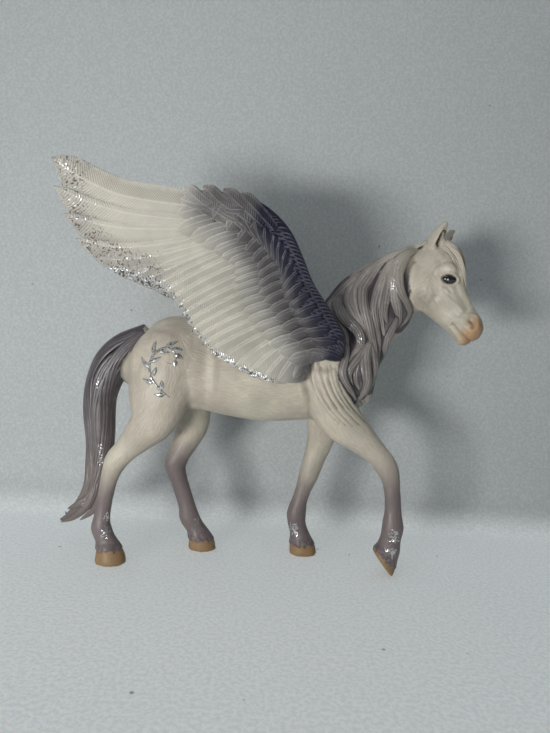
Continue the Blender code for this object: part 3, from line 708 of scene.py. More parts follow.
for number, (line, girth, weight) in enumerate(LIMBS):
    travelled = 90.0 * number
    for start, end in zip(np.array(line), np.array(line)[1:]):
        step = end - start
        length = np.linalg.norm(step)
        ahead = step / length
        across = np.cross(ahead, (0.0, 1.0, 0.0))
        across /= np.linalg.norm(across)
        third = np.cross(ahead, across)
        offset = points - start
        place = np.clip(offset @ ahead, 0.0, length)
        gap = np.linalg.norm(offset - place[:, None] * ahead, axis=1) / weight
        nearer = gap < closest
        angle = np.arctan2(offset @ third, offset @ across)
        run[nearer] = np.stack([travelled + offset @ ahead, angle * girth, 0 * angle], axis=1)[nearer]
        closest[nearer] = gap[nearer]
        travelled += length
layer = hide.data.attributes.new("run", "FLOAT_VECTOR", "POINT")
layer.data.foreach_set("vector", (run * MM).astype(np.float32).ravel())


def new_effect(name, inputs, outputs):
    """A shared effect: a node group with named sockets, first of them the place on the piece."""
    group = bpy.data.node_groups.new(name, "ShaderNodeTree")
    for way, sockets in (("INPUT", {"Place": "Vector", **inputs}), ("OUTPUT", outputs)):
        for socket, kind in sockets.items():
            group.interface.new_socket(socket, in_out=way, socket_type="NodeSocket" + kind)
    inside = group.nodes.new("NodeGroupInput").outputs
    return Paint(group, inside["Place"]), inside, group.nodes.new("NodeGroupOutput").inputs


# Engraved hair: short wavy strokes along the run of the coat.
engraving, inside, outside = new_effect("engraved_hair", {"Run": "Vector", "Spacing": "Float"},
                                        {"Height": "Float"})
waves = engraving.node("TexNoise", {"Vector": engraving.place, "Scale": 0.11 / MM, "Detail": 1.0})
swing = engraving.node("VectorMath", {0: waves.outputs["Color"], 1: (0.5, 0.5, 0.5)}, operation="SUBTRACT")
swing = engraving.node("VectorMath", {0: swing.outputs[0], 1: (0.0, 6 * MM, 0.0)}, operation="MULTIPLY")
bent = engraving.node("VectorMath", {0: inside["Run"], 1: swing.outputs[0]}, operation="ADD")
fine = engraving.sums("DIVIDE", 1.0 / MM, inside["Spacing"])
stretch = engraving.node("CombineXYZ", {0: engraving.times(fine, 0.21), 1: fine, 2: fine})
bent = engraving.node("VectorMath", {0: bent.outputs[0], 1: stretch.outputs[0]}, operation="MULTIPLY")
strokes = engraving.node("TexNoise", {"Vector": bent.outputs[0], "Scale": 0.85, "Detail": 1.5,
                                      "Roughness": 0.45})
engraving.feed(outside["Height"], engraving.ramp(strokes.outputs["Fac"], 0.36, 0.6))

# Silver flake paint: bright flakes with dark gaps, thickest where the mask is 1.
flaking, inside, outside = new_effect("silver_flakes", {"Mask": "Float", "Size": "Float"},
                                      {"Silver": "Float", "Dark": "Float"})
rate = flaking.sums("DIVIDE", 1.0 / MM, inside["Size"])
cells = flaking.node("TexVoronoi", {"Vector": flaking.place, "Scale": rate}).outputs["Color"]
chance = flaking.node("SeparateColor", {0: cells}).outputs
flaking.feed(outside["Silver"], flaking.sums("GREATER_THAN", inside["Mask"], chance[0]))
some = flaking.sums("GREATER_THAN", chance[1], 0.72)
spread = flaking.sums("GREATER_THAN", flaking.times(inside["Mask"], 1.4), chance[2])
flaking.feed(outside["Dark"], flaking.times(some, spread))

# Hand-painted mottling: a little lighter and darker in soft patches, with painted shade darkening the
# hollows.
patches_and_shade, inside, outside = new_effect(
    "patches_and_hollow_shade", {"Colour": "Color", "Hollow Shade": "Float", "Hollow Shade Colour": "Color"}, {"Colour": "Color"})
lighter = patches_and_shade.mix(1.0, inside["Colour"], (1.12, 1.11, 1.09), "MULTIPLY")
darker = patches_and_shade.mix(1.0, inside["Colour"], (0.88, 0.87, 0.86), "MULTIPLY")
shade = patches_and_shade.mix(patches_and_shade.ramp(patches_and_shade.noise(0.09, 3.0), 0.3, 0.7), darker, lighter)
shade = patches_and_shade.mix(patches_and_shade.ramp(patches_and_shade.noise(1.6), 0.58, 0.75, 0.0, 0.18), shade, darker)
# Painted shade: the hollows darken towards the shade colour.
hollow_shaded = patches_and_shade.ramp(inside["Hollow Shade"], 0.05, 0.95, 0.0, 0.85)
patches_and_shade.feed(outside["Colour"], patches_and_shade.mix(hollow_shaded, shade, inside["Hollow Shade Colour"]))

IVORY = (0.66, 0.615, 0.505)
IVORY_ROSE = (0.66, 0.595, 0.50)
DUSK = (0.215, 0.175, 0.175)
# The colour of the painted shade in the hollows.
HOLLOW_SHADE = (0.16, 0.125, 0.09)
HOOF = (0.29, 0.18, 0.085)
HOOF_PALE = (0.40, 0.26, 0.13)
BAND_DARK = (0.075, 0.06, 0.07)
BLUSH = (0.60, 0.385, 0.21)
EAR_OCHRE = (0.10, 0.075, 0.035)
SILVER = (0.70, 0.70, 0.70)
# The dark under the locks: hair paint deepened into painted shade.
DARK_HAIR_AND_SHADE = (0.075, 0.062, 0.07)
ivory, paint = new_paint("pearl_ivory_paint")
colour = paint.mix(paint.ramp(paint.noise(0.05, 1.0), 0.4, 0.65), IVORY, IVORY_ROSE)
colour = paint.mix(paint.mask("dusk"), colour, DUSK)
colour = paint.mix(paint.mask("blush"), colour, BLUSH)
strokes = paint.use(engraving, {"Run": paint.mask("run", "Vector"), "Spacing": 0.45})["Height"]
# Painted shade: the engraved strokes' grooves are a little darker.
colour = paint.mix(paint.ramp(strokes, 0.0, 1.0, 0.14, 0.0), colour, DUSK)
# Painted shade darkens the hollows over the mottled tone.
colour = paint.use(patches_and_shade, {"Colour": colour, "Hollow Shade": paint.mask("hollow_shade"), "Hollow Shade Colour": HOLLOW_SHADE})["Colour"]
teeth = paint.ramp(paint.noise(1.1, 1.0), 0.3, 0.7, -0.7, 0.7)
band = paint.sums("ADD", paint.mask("coronet"), teeth)
near_band = paint.times(paint.ramp(band, 0.0, 4.5, 0.75, 0.0), paint.ramp(paint.noise(0.7), 0.35, 0.6))
colour = paint.mix(near_band, colour, BAND_DARK)
in_hoof = paint.ramp(band, -0.1, 0.1, 1.0, 0.0)
colour = paint.mix(in_hoof, colour, paint.mix(paint.noise(0.45, 3.0), HOOF, HOOF_PALE))
colour = paint.mix(paint.mask("ear_cup"), colour, EAR_OCHRE)
# Painted shade under and between the locks, over the hair's own dark paint.
colour = paint.mix(paint.mask("hair_bed_shade"), colour, DARK_HAIR_AND_SHADE)
flakes = paint.use(flaking, {"Mask": paint.ramp(paint.mask("silver"), 0.2, 1.3, 0.0, 0.7),
                             "Size": 0.35})["Silver"]
gloss = paint.mix(in_hoof, (0.42, 0.42, 0.42), (0.62, 0.62, 0.62))
smooth_parts = paint.ramp(paint.larger(in_hoof, paint.mask("blush")), 0.0, 1.0, 1.0, 0.1)
relief = paint.bump(paint.times(strokes, smooth_parts), 0.5, 0.10)
paint.finish({
    "Base Color": paint.mix(flakes, colour, SILVER),
    "Metallic": flakes,
    "Roughness": paint.mix(flakes, gloss, (0.22, 0.22, 0.22)),
    "Normal": paint.bump(paint.noise(3.0), 0.3, 0.05, relief),
    "Coat Weight": 0.12,
    "Coat Roughness": 0.3,
})
hide.data.materials.append(ivory)
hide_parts("body")
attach(hide, "root")


# Mane and forelock.
# Moulded with the body and painted grey-violet: wide flat locks, each of a few fine ridges, fall
# from the crest over the right of the neck and end in loose points. Shorter ones cover the left.
MANE_LOCKS = (
    (((46, 108.5), (43.5, 105), (42.5, 100.5), (43.5, 96), (45.5, 92)), 1.5, 3),
    (((48, 110.5), (44, 107), (42.2, 102.5), (43, 96.5), (45.5, 92.5), (47.3, 89.5), (46.3, 86.5),
      (44.2, 83.8)), 1.7, 3),
    (((46.5, 110), (42.5, 106), (41, 100), (41.5, 94.5), (43, 90.5), (44, 86.5), (42.6, 82.6)), 2.1, 4),
    (((43.5, 108.5), (41, 105), (39.5, 100.5), (39, 95.5), (38.5, 91), (38.8, 88), (39.8, 85)), 1.9, 3),
    (((43, 87.5), (41.3, 83), (40.2, 80), (39.8, 77), (40.4, 74.5), (39.2, 71)), 1.5, 3),
    (((40, 106.5), (38, 101), (36.5, 95), (36.5, 90), (38, 85), (39.5, 80)), 1.7, 3),
    (((41.5, 107.5), (39, 103.5), (37, 98.5), (35.5, 94), (35, 89), (36, 84), (37.5, 79), (38.6, 72.5)), 1.9,
     4),
    (((34, 103.5), (31, 100), (29, 95.5), (28.8, 91.5), (30.5, 86.5), (33, 82.5), (35, 77)), 1.9, 4),
    (((38, 106), (34.5, 101.5), (31.5, 97.5), (30.8, 94), (31.5, 90), (33, 86), (34.5, 81), (36, 76),
      (37.3, 71), (36.2, 66.5)), 2, 4),
    (((31.5, 102), (28.5, 98), (26.5, 93.5), (27, 89.5), (29.5, 85.5), (31.5, 81.5)), 1.8, 3),
    (((25, 96.5), (22, 92.5), (20.3, 89.5), (20.8, 87), (22.5, 85), (25, 82.5), (26.5, 79), (26.3, 73.5)),
     1.7, 3),
    (((29, 100.5), (25.5, 96), (23.5, 92), (24, 88.5), (26, 85.5), (29.5, 82.5), (31, 79), (30, 76),
      (28, 73.5), (26, 70.5)), 2.3, 5),
    (((26.5, 77.5), (25.8, 72.5), (25, 68.5), (26.5, 64.5), (29, 61.5), (31, 58.5)), 1.5, 3),
    (((34, 78.5), (31, 74), (28.5, 71), (27.3, 67.5), (29.3, 64)), 1.6, 3),
    (((34.5, 77.5), (35.3, 74), (36.4, 69.5), (35.6, 64.5), (34, 60.5)), 1.5, 3),
    (((34, 78), (31.5, 73.5), (30, 70), (29.8, 66), (31.5, 62.5)), 1.5, 3),
    (((34.5, 79), (32.5, 74), (33, 69), (33.8, 65), (32.6, 61), (30, 56.8)), 2, 4),
)
CREST_LOCKS = (
    (((51.5, 113), (45, 110.2), (39, 106.8), (33.5, 103), (29, 99), (25.5, 94.5), (23, 90)), 2, 4),
    (((50, 111.6), (45.5, 108.8), (40.5, 105.6), (36, 101.8)), 1.5, 3),
    (((34, 103.6), (28.5, 99.6), (24.6, 95.4), (21.6, 91.4), (20.8, 87.5), (23.5, 84)), 2.1, 4),
)
FORELOCKS = (
    (((-2.5, 6.6, 0.9), (1.4, 8.6, 1.9), (4.9, 8.9, 2.6), (7.8, 8.2, 2.8), (10.6, 7.4, 2.7),
      (13.8, 6.2, 1.6), (15.6, 5.6, 0.9)), 1, 3),
    (((-2.8, 6.6, -0.6), (1.2, 9.2, 0.2), (4.2, 10, 0.8), (6.8, 9.6, 0.9), (9.4, 8.6, 0.6), (12, 7, 0.2)),
     1.1, 3),
    (((-1.6, 6.2, 2.4), (0.8, 7.2, 3.2), (3, 7.6, 3.6), (5.4, 7.4, 3.9), (7.4, 7, 3.8)), 0.9, 2),
    (((-2.4, 6.4, -1.6), (1, 8.4, -1.9), (4.2, 9, -1.8), (7.4, 8.6, -1.4), (10.2, 7.8, -0.9)), 1, 3),
    (((-1.6, 6.2, -2.6), (1, 7, -3.4), (3.4, 7.4, -3.8), (6, 7, -3.8)), 0.9, 2),
)
TOP_LOCKS = (
    (((51, -1), (45, -0.4), (38, -1.6), (32, -3.4), (27, -5.4), (23, -6.6)), 1.7, 4),
    (((51.5, 2.5), (45.5, 2.4), (39, 1.4), (33, 1), (28, 0.2), (23, -1.4), (20, -1)), 1.8, 4),
    (((50.5, 5), (44.5, 4.4), (38.5, 4.2), (32.5, 4.4), (27, 5.4), (23, 6.6)), 1.7, 4),
    (((46, 0.8), (40, -0.6), (34, -1.4), (29, -2.6), (24.5, -3.6)), 1.5, 3),
    (((43, 3.2), (37, 2.8), (31, 2.6), (25.5, 3.2), (21.5, 2.4)), 1.5, 3),
)
FAR_LOCKS = 12
LOCK_STEPS = 6
BETWEEN_LOCKS = 2.2
OUTSIDE = 40.0
ABOVE = 160.0
LOCK_HEIGHT = 0.62
GROOVE_DEPTH = 0.24


def settle(line, outs, rounds):
    """Take the small steps out of a line laid on the skin."""
    for _ in range(rounds):
        line[1:-1] = 0.5 * line[1:-1] + 0.25 * (line[:-2] + line[2:])
        outs[1:-1] = 0.5 * outs[1:-1] + 0.25 * (outs[:-2] + outs[2:])
    return line, outs / np.linalg.norm(outs, axis=1)[:, None]


def on_flank(path, side, lift=0.0):
    """Lay a line of x and z on one side of the body; returns places and outward directions."""
    line, outs = [], []
    for x, z in smooth_line(path, LOCK_STEPS):
        hit = hide_tree.ray_cast(Vector((x, side * OUTSIDE, z)), Vector((0.0, -side, 0.0)))
        if hit[0] is None:
            hit = hide_tree.find_nearest(Vector((x, side * 2.0, z)))
        line.append(hit[0])
        outs.append(Vector(hit[1]) + Vector((0.0, side * 0.6, 0.0)))
    line, outs = settle(np.array(line), np.array(outs), 4)
    return line + outs * lift, outs


def on_crest(path, lift):
    """Lay a line of x and y on the top of the neck."""
    line, outs = [], []
    for x, y in smooth_line(path, LOCK_STEPS):
        hit = hide_tree.ray_cast(Vector((x, y, ABOVE)), Vector((0.0, 0.0, -1.0)))
        if hit[0] is None:
            hit = hide_tree.find_nearest(Vector((x, y, POLL[2] + 3.0)))
        line.append(hit[0])
        outs.append(hit[1])
    line, outs = settle(np.array(line), np.array(outs), 6)
    return line + outs * lift, outs


def on_head(path):
    line, outs = [], []
    for place in from_head(smooth_line(path, LOCK_STEPS)):
        hit = hide_tree.find_nearest(Vector(place))
        line.append(np.array(hit[0]) * 0.7 + place * 0.3)
        outs.append(np.array(hit[1]))
    return settle(np.array(line), np.array(outs), 3)


class Bundle:
    """Many small closed shapes that end up as one piece, each point with its ridge value."""

    def __init__(self):
        self.points, self.faces, self.values, self.size = [], [], [], 0

    def add_tube(self, rings, values):
        """A closed body through rings of points, given as rows of rings."""
        rows, around, _ = rings.shape
        start = self.size + np.arange(rows * around).reshape(rows, around)
        after = np.roll(start, -1, axis=1)
        quads = np.stack([start[:-1], after[:-1], after[1:], start[1:]], axis=-1).reshape(-1, 4)
        self.faces += quads.tolist() + [start[0][::-1].tolist(), start[-1].tolist()]
        self.points.append(rings.reshape(-1, 3))
        self.values.append(values.reshape(-1, values.shape[-1]))
        self.size += rows * around

    def piece(self, name, masks):
        mesh = bpy.data.meshes.new(name)
        mesh.from_pydata((np.vstack(self.points) * MM).tolist(), [], self.faces)
        thing = bpy.data.objects.new(name, mesh)
        scene.collection.objects.link(thing)
        for mask, values in zip(masks, np.vstack(self.values).T):
            mark(thing, mask, values)
        face_outwards(thing)
        return thing


def lay_lock(bundle, line, outs, wide, high, ridges, seed, root=0.5):
    """One tapering lock of hair: fine ridges side by side, domed, with its underside in its bed."""
    ahead = np.gradient(line, axis=0)
    ahead /= np.linalg.norm(ahead, axis=1)[:, None]
    outs = outs - np.sum(outs * ahead, axis=1)[:, None] * ahead
    outs /= np.linalg.norm(outs, axis=1)[:, None]
    across = np.cross(ahead, outs)
    t = np.linspace(0.0, 1.0, len(line))[:, None]
    opening = root + (1 - root) * np.sin(np.minimum(t * 3.0, 1.0) * math.pi / 2)
    taper = np.maximum(opening * np.maximum(1 - t ** 2.4, 0.0) ** 0.7, 0.06)
    c = np.linspace(-1.0, 1.0, 6 * ridges + 1)[None, :]
    swayed = c + 0.26 * (1 - c ** 2) * np.sin(2 * math.pi * (1.1 * t + 0.37 * seed))
    ridge = np.abs(np.sin(0.5 * math.pi * ridges * (swayed + 1.0))) ** 0.6
    dome = np.sqrt(1.0 - (0.97 * c) ** 2)
    height = high * taper * dome - GROOVE_DEPTH * (1 - ridge) * np.minimum(1.0, taper * 1.4) * dome
    line, outs, across = line[:, None], outs[:, None], across[:, None]
    top = line + across * (wide * taper * c)[..., None] + outs * height[..., None]
    bottom = line + across * (wide * taper * (0.7, -0.7))[..., None] - outs * 0.6 * high
    # The value is low in the grooves and at the lock's edges, where hair paint puts painted shade.
    value = np.concatenate([(0.6 + 0.4 * ridge) * dome ** 0.8 + 0 * t, np.zeros((len(t), 2))], axis=1)
    bundle.add_tube(np.concatenate([top, bottom], axis=1), value[..., None])


# Under the locks the skin is painted dark, so that no pale coat shows between them: hair paint deepened into
# painted shade.
points = points_of(hide)
x, y, z = points.T
under = np.nonzero((x > 17.0) & (x < 49.5) & (z > 54.0) & (z < 109.5))[0]
bed = on_tail.copy()
poll_side = slope(np.linalg.norm(points - POLL, axis=1), 6.0, 13.0)
for side, locks in ((-1, MANE_LOCKS + CREST_LOCKS), (1, MANE_LOCKS[:FAR_LOCKS] + CREST_LOCKS)):
    here = under[y[under] * side > -1.5]
    near = np.zeros(len(here))
    for path, wide, _ in locks:
        gap = line_distance(points[here][:, (0, 2)], smooth_line(path[:-1], 2))
        near += gap < wide + BETWEEN_LOCKS
        bed[here] = np.maximum(bed[here], 1.0 - slope(gap, wide - 0.3, wide + 0.4))
    off_shoulder = (x[here] > 21.5) | (np.abs(y[here]) < 8.0)
    bed[here] = np.maximum(bed[here], (near >= 2) & off_shoulder) * poll_side[here]
mark(hide, "hair_bed_shade", bed)

mane = Bundle()
for number, (path, wide, ridges) in enumerate(MANE_LOCKS):
    lift = -0.15 + 0.05 * (number % 3)
    lay_lock(mane, *on_flank(path, -1, lift), wide * 1.12, LOCK_HEIGHT * 1.8, ridges, number)
for number, (path, wide, ridges) in enumerate(MANE_LOCKS[:FAR_LOCKS]):
    lay_lock(mane, *on_flank(path, 1, -0.15), wide * 1.15, LOCK_HEIGHT * 1.4, ridges, number + 40)
for number, (path, wide, ridges) in enumerate(CREST_LOCKS):
    for side in (-1, 1):
        lay_lock(mane, *on_flank(path, side, 0.1), wide, LOCK_HEIGHT * 1.4, ridges, number + 60, root=0.3)
for number, (path, wide, ridges) in enumerate(TOP_LOCKS):
    lift = -0.1 + 0.1 * (number % 2)
    lay_lock(mane, *on_crest(path, lift), wide, LOCK_HEIGHT * 1.2, ridges, number + 70, root=0.3)
forelock_start = mane.size
for number, (path, wide, ridges) in enumerate(FORELOCKS):
    lay_lock(mane, *on_head(path), wide, LOCK_HEIGHT, ridges, number + 80, root=0.8)
mane_piece = mane.piece("mane", ("ridge",))
points = points_of(mane_piece)
near_poll = 1 - slope(np.linalg.norm(points - POLL, axis=1), 6.0, 24.0)
mark(mane_piece, "fade", np.where(np.arange(len(points)) >= forelock_start, 1.0, 0.85 * near_poll))
MANE_SILVER = ((40.5, -9, 98), (39.5, -9.5, 93), (42, -9, 104), (27.5, -10, 84), (31, -11, 80))
mark(mane_piece, "silver", spotted(points, MANE_SILVER, (2.4, 4.0, 5.0)))


def hair_paint(name, deep, mid, pale, cream):
    """Hair paint: painted shade in the grooves and at the locks' edges, dry-brush with painted highlight on
    the ridges, fading to cream.
    """
    material, paint = new_paint(name)
    ridge = paint.mask("ridge")
    # Painted highlight, partly dry-brush, on the ridge crests; painted shade in the grooves.
    crest_brush_and_highlight = paint.times(paint.ramp(ridge, 0.7, 1.0), paint.ramp(paint.noise(0.35), 0.3, 0.65, 0.3, 0.8))
    body = paint.mix(crest_brush_and_highlight, paint.mix(paint.ramp(ridge, 0.25, 0.72), deep, mid), pale)
    soft = paint.mix(paint.ramp(ridge, 0.15, 0.7), (0.20, 0.155, 0.11), cream)
    colour = paint.mix(paint.mask("fade"), body, soft)
    colour = paint.use(patches_and_shade, {"Colour": colour, "Hollow Shade": 0.0, "Hollow Shade Colour": deep})["Colour"]
    sprinkled = paint.ramp(paint.mask("silver"), 0.2, 1.4, 0.0, 0.5)
    flakes = paint.use(flaking, {"Mask": sprinkled, "Size": 0.3})["Silver"]
    paint.finish({
        "Base Color": paint.mix(flakes, colour, SILVER),
        "Metallic": flakes,
        "Roughness": 0.38,
        "Normal": paint.bump(paint.noise(1.4), 0.3, 0.1),
        "Coat Weight": 0.2,
        "Coat Roughness": 0.28,
    })
    return material


mane_piece.data.materials.append(hair_paint("mane_paint", (0.045, 0.04, 0.042), (0.225, 0.203, 0.198),
                                            (0.44, 0.41, 0.38), (0.58, 0.54, 0.455)))
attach(mane_piece, "root")

# Haunch sprig.
# A leafy spray on each haunch, a hair's breadth proud of the coat, picked out by brush in silver
# paint with coarse flakes: one curling stem with pointed leaves on both sides.
SPRIG_STEM = ((-30.5, 57.5), (-33.5, 60), (-36.3, 63.5), (-37.3, 67.5), (-36, 71.2), (-33, 73.4),
              (-30.2, 72.6), (-29, 70.2), (-30.4, 68.4), (-32.2, 69))
SPRIG_LEAVES = ((0.06, 62, 3.2), (0.12, -70, 3), (0.19, 58, 3.8), (0.25, -66, 3.4), (0.32, 56, 4.2),
                (0.38, -62, 3.6), (0.45, 54, 4.2), (0.51, -58, 3.4), (0.58, 52, 3.8), (0.66, 50, 3.2),
                (0.74, 48, 2.6), (0.82, 46, 2))
sprig = Bundle()
stem = smooth_line(SPRIG_STEM, 6)
for side in (-1, 1):
    lay_lock(sprig, *on_flank(stem[::3], side, 0.05), 0.5, 0.36, 1, 3)
    for share, turn, length in SPRIG_LEAVES:
        place, following = stem[int(share * (len(stem) - 1)):][:2]
        ahead = (following - place) / np.linalg.norm(following - place)
        turn = math.radians(turn)
        way = np.array((ahead[0] * math.cos(turn) - ahead[1] * math.sin(turn),
                        ahead[0] * math.sin(turn) + ahead[1] * math.cos(turn)))
        curl = ahead * 0.35 * length
        path = [place, place + way * 0.5 * length + 0.2 * curl, place + way * 0.85 * length + curl]
        lay_lock(sprig, *on_flank(path, side, 0.05), 0.82, 0.38, 1, share, root=0.35)
sprig_piece = sprig.piece("haunch_sprig", ("ridge",))
silver_paint, paint = new_paint("silver_paint")
flakes = paint.use(flaking, {"Mask": 0.78, "Size": 0.34})
colour = paint.mix(flakes["Silver"], (0.33, 0.32, 0.30), (0.86, 0.86, 0.85))
paint.finish({
    "Base Color": paint.mix(paint.times(flakes["Dark"], 0.8), colour, (0.07, 0.065, 0.07)),
    "Metallic": paint.ramp(flakes["Silver"], 0.0, 1.0, 0.25, 0.7),
    "Roughness": paint.mix(flakes["Silver"], (0.45, 0.45, 0.45), (0.2, 0.2, 0.2)),
})
sprig_piece.data.materials.append(silver_paint)
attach(sprig_piece, "root")

# Tail.
# Moulded with the body: a full switch that arches from the dock and turns out at its end, of long
# locks that twist round each other. Painted a darker grey-violet, with a soft gloss.
# A lock runs from start to end along the tail; its angle round the tail goes from one to the other.
LOCK_SEAT = 0.84
TAIL_LOCKS = (
    (0.00, 0.93, 95, 60, 2.5, 4), (0.00, 0.86, 62, 105, 2.3, 4), (0.02, 1.00, 30, 25, 2.6, 5),
    (0.02, 0.97, -5, 40, 2.5, 4), (0.04, 0.90, -35, -70, 2.4, 4), (0.03, 0.99, -65, -12, 2.3, 4),
    (0.06, 0.84, -95, -60, 2.2, 4), (0.03, 0.95, 130, 150, 2.6, 4), (0.03, 1.00, 165, 190, 2.6, 4),
    (0.03, 0.93, 200, 160, 2.6, 4), (0.05, 0.90, 235, 215, 2.5, 4), (0.10, 0.74, 12, -38, 1.8, 3),
    (0.30, 0.98, 75, 12, 1.7, 3), (0.34, 0.88, -50, 5, 1.6, 3), (0.45, 0.96, -80, -30, 1.5, 3),
)


def along_tail(start, end, turn_from, turn_to, wobble):
    """A line along the tail's outside, and its outward directions."""
    ahead = np.gradient(middle[:, :3], axis=0)
    ahead /= np.linalg.norm(ahead, axis=1)[:, None]
    width = np.array((0.0, -1.0, 0.0)) + ahead * ahead[:, 1:2]
    width /= np.linalg.norm(width, axis=1)[:, None]
    outer = np.cross(width, ahead)
    t = np.linspace(start, end, 46)
    place = t * (len(middle) - 1)
    pick = [np.stack([np.interp(place, np.arange(len(middle)), column) for column in block.T], axis=1)
            for block in (middle, width, outer)]
    share = (t - start) / (end - start)
    sway = 10.0 * np.sin(2 * math.pi * (share * 1.6 + wobble))
    turn = np.radians(turn_from + (turn_to - turn_from) * share + sway)[:, None]
    row, width, outer = pick
    outs = width * np.cos(turn) + outer * np.sin(turn)
    away = width * row[:, 4:] * np.cos(turn) + outer * row[:, 3:4] * np.sin(turn)
    return row[:, :3] + LOCK_SEAT * away, outs


tail = Bundle()
for number, (start, end, turn_from, turn_to, wide, ridges) in enumerate(TAIL_LOCKS):
    line, outs = along_tail(start, end, turn_from, turn_to, 0.31 * number)
    lay_lock(tail, line, outs, wide * 1.12, LOCK_HEIGHT * 2.2, ridges, number, root=0.45)
TAIL_POINTS = (
    (((-58.5, 1, 24), (-60.5, 0.6, 19.5), (-64, 0.4, 16.6), (-67.9, 0.6, 14.6)), 1.7),
    (((-57.5, 1, 27), (-58.6, 0.4, 21), (-61.5, 0.4, 15.6), (-66, 0.9, 11.6), (-70.4, 1.4, 9.4)), 1.8),
    (((-55.8, 1.4, 27), (-56.2, 0.8, 20.5), (-58.8, 0.6, 14.6), (-63.5, 0.9, 10.6)), 1.6),
)
for number, (path, wide) in enumerate(TAIL_POINTS):
    line = smooth_line(path, 9)
    lay_lock(tail, line, np.tile((0.0, -1.0, 0.0), (len(line), 1)), wide, 1.7, 3, number + 20, root=0.6)
tail_piece = tail.piece("tail", ("ridge",))
points = points_of(tail_piece)
mark(tail_piece, "fade", 0.75 * (1 - slope(points[:, 2], 14.0, 62.0)))
TAIL_SILVER = ((-56.5, -1, 33), (-56.5, -1.5, 37), (-57.5, -2.5, 60), (-62, 0, 17))
mark(tail_piece, "silver", spotted(points, TAIL_SILVER, (1.6, 3.0, 4.0)))
tail_piece.data.materials.append(hair_paint("tail_paint", (0.020, 0.017, 0.021), (0.085, 0.074, 0.085),
                                            (0.22, 0.197, 0.205), (0.23, 0.195, 0.18)))
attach(tail_piece, "root")

# Eyes.
# Not separate on the moulding: a raised almond in each socket, painted gloss black, with a round white dot
# near its middle.
EYE_OUT = 5.15
EYE_RADII = (2.15, 1.6, 1.35)
EYE_DOT = (9.9, 2.6)
eye_black, paint = new_paint("gloss_black_paint")
white = paint.ramp(paint.mask("dot"), 0.22, 0.3, 1.0, 0.0)
paint.finish({
    "Base Color": paint.mix(white, (0.004, 0.004, 0.005), (0.85, 0.85, 0.85)),
    "Roughness": 0.06,
    "Coat Weight": 1.0,
    "Coat Roughness": 0.03,
})
for side, name in ((1, "eye_right"), (-1, "eye_left")):
    bpy.ops.object.select_all(action="DESELECT")
    bpy.ops.mesh.primitive_uv_sphere_add(segments=64, ring_count=40, radius=1.0)
    eye = bpy.context.object
    eye.name = name
    ball = points_of(eye) * MM
    ball[:, 1] *= 1.0 - 0.35 * np.clip(-ball[:, 0], 0, 1) ** 2
    ball *= EYE_RADII
    turned = ball @ ((*EYE_LONG_WAY, 0.0), (*EYE_SHORT_WAY, 0.0), (0.0, 0.0, 1.0))
    turned[:, 2] += EYE_OUT - 0.30 * (turned[:, 0] + turned[:, 1])
    turned += (*EYE, 0.0)
    hidden = turned[:, 2] < EYE_OUT - 1.5
    set_points(eye, from_head(turned * (1.0, 1.0, side)))
    mark(eye, "dot", np.linalg.norm(turned[:, :2] - EYE_DOT, axis=1) + 9.0 * hidden)
    face_outwards(eye)
    eye.data.materials.append(eye_black)
    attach(eye, "root")

# Wings.
# Two separate mouldings glued on at the shoulders. Each is a fan of overlapping feathers that
# spring from a thick leading edge; every vane has raised barbs on both faces. They are painted
# from dark indigo at the leading edge, through grey-violet coverts, to warm ivory quills.
WING_ROOT = (18.0, 16.4, 74.6)
WING_SPREAD = math.asin(17.0 / 50.0)
WING_SWEEP = math.asin(10.8 / 77.4)
PRIMARIES = (
    (((-34, 41.7), (-42.5, 41.9), (-52, 42.3), (-60.4, 43.2), (-66.5, 45.1), (-72.3, 47.7), (-77.6, 51.2)),
     7, 4.6),
    (((-34.5, 38.6), (-43.4, 38.1), (-52, 38.2), (-60.5, 38.8), (-68.7, 40.7), (-75.1, 42.9), (-78, 44)),
     7.4, 1.3),
    (((-35, 36.8), (-45, 35.3), (-56.9, 34.5), (-66.2, 34.9), (-76.2, 36.8)), 7.2, 1.2),
    (((-35, 35), (-44.4, 31.9), (-52.2, 30.2), (-61.6, 29), (-68.7, 29.6), (-73.4, 30.3)), 6.8, 1.1),
    (((-34, 33.6), (-40.9, 30.6), (-52.3, 27), (-62.7, 25.3), (-68.4, 25.2)), 6.4, 1.1),
    (((-33, 32), (-38.9, 28.6), (-47.4, 25), (-59.6, 22.2), (-63.4, 21.3)), 5.6, 1),
)
SECONDARY_BASES = ((-32, 32.4), (-29.5, 31.6), (-26.5, 29.8), (-24, 26), (-23, 22), (-22.5, 17.5),
                   (-20.5, 13), (-18, 9.5), (-15, 6.5), (-11.5, 3.5), (-7.5, 1.5), (-4, 0.5))
SECONDARY_TIPS = ((-58.6, 20.4), (-53, 19), (-48.8, 16.6), (-46.2, 13.1), (-44, 9.4), (-42, 5.4),
                  (-39.4, 2), (-36.8, -1.2), (-31, -4.8), (-24, -8.6), (-16.6, -11), (-9.2, -9.4))
SECONDARIES = 18
EDGE_STROKES = 44
WING_ARM = (
    (1.5, -1.5, 4.6, 3.2), (2.2, 4, 5, 3), (-2.6, 11, 5, 2.7), (-8.6, 19.5, 4.8, 2.4),
    (-12.6, 28, 4.6, 2.2), (-17.2, 35, 5, 2), (-24.5, 39.8, 5.4, 1.8), (-32.5, 42, 4.4, 1.5),
    (-41, 43.5, 2.6, 1.2),
)
GREATER_LINE = ((-41, 45), (-45.2, 39.5), (-45.4, 34.2), (-36.6, 30.2), (-29.2, 26), (-28.5, 17.2),
                (-24.2, 8.8), (-17.2, 1.5), (-9.5, -4.2))
GREATER_WIDTHS = (4.6, 4.6, 4.4, 4.2, 3.4, 2.9, 2.3, 2.1, 2.1, 2.1, 2.1, 2.1, 2.3, 2.5, 2.7, 3, 3.2, 3.4,
                  3.6, 3.8, 4)
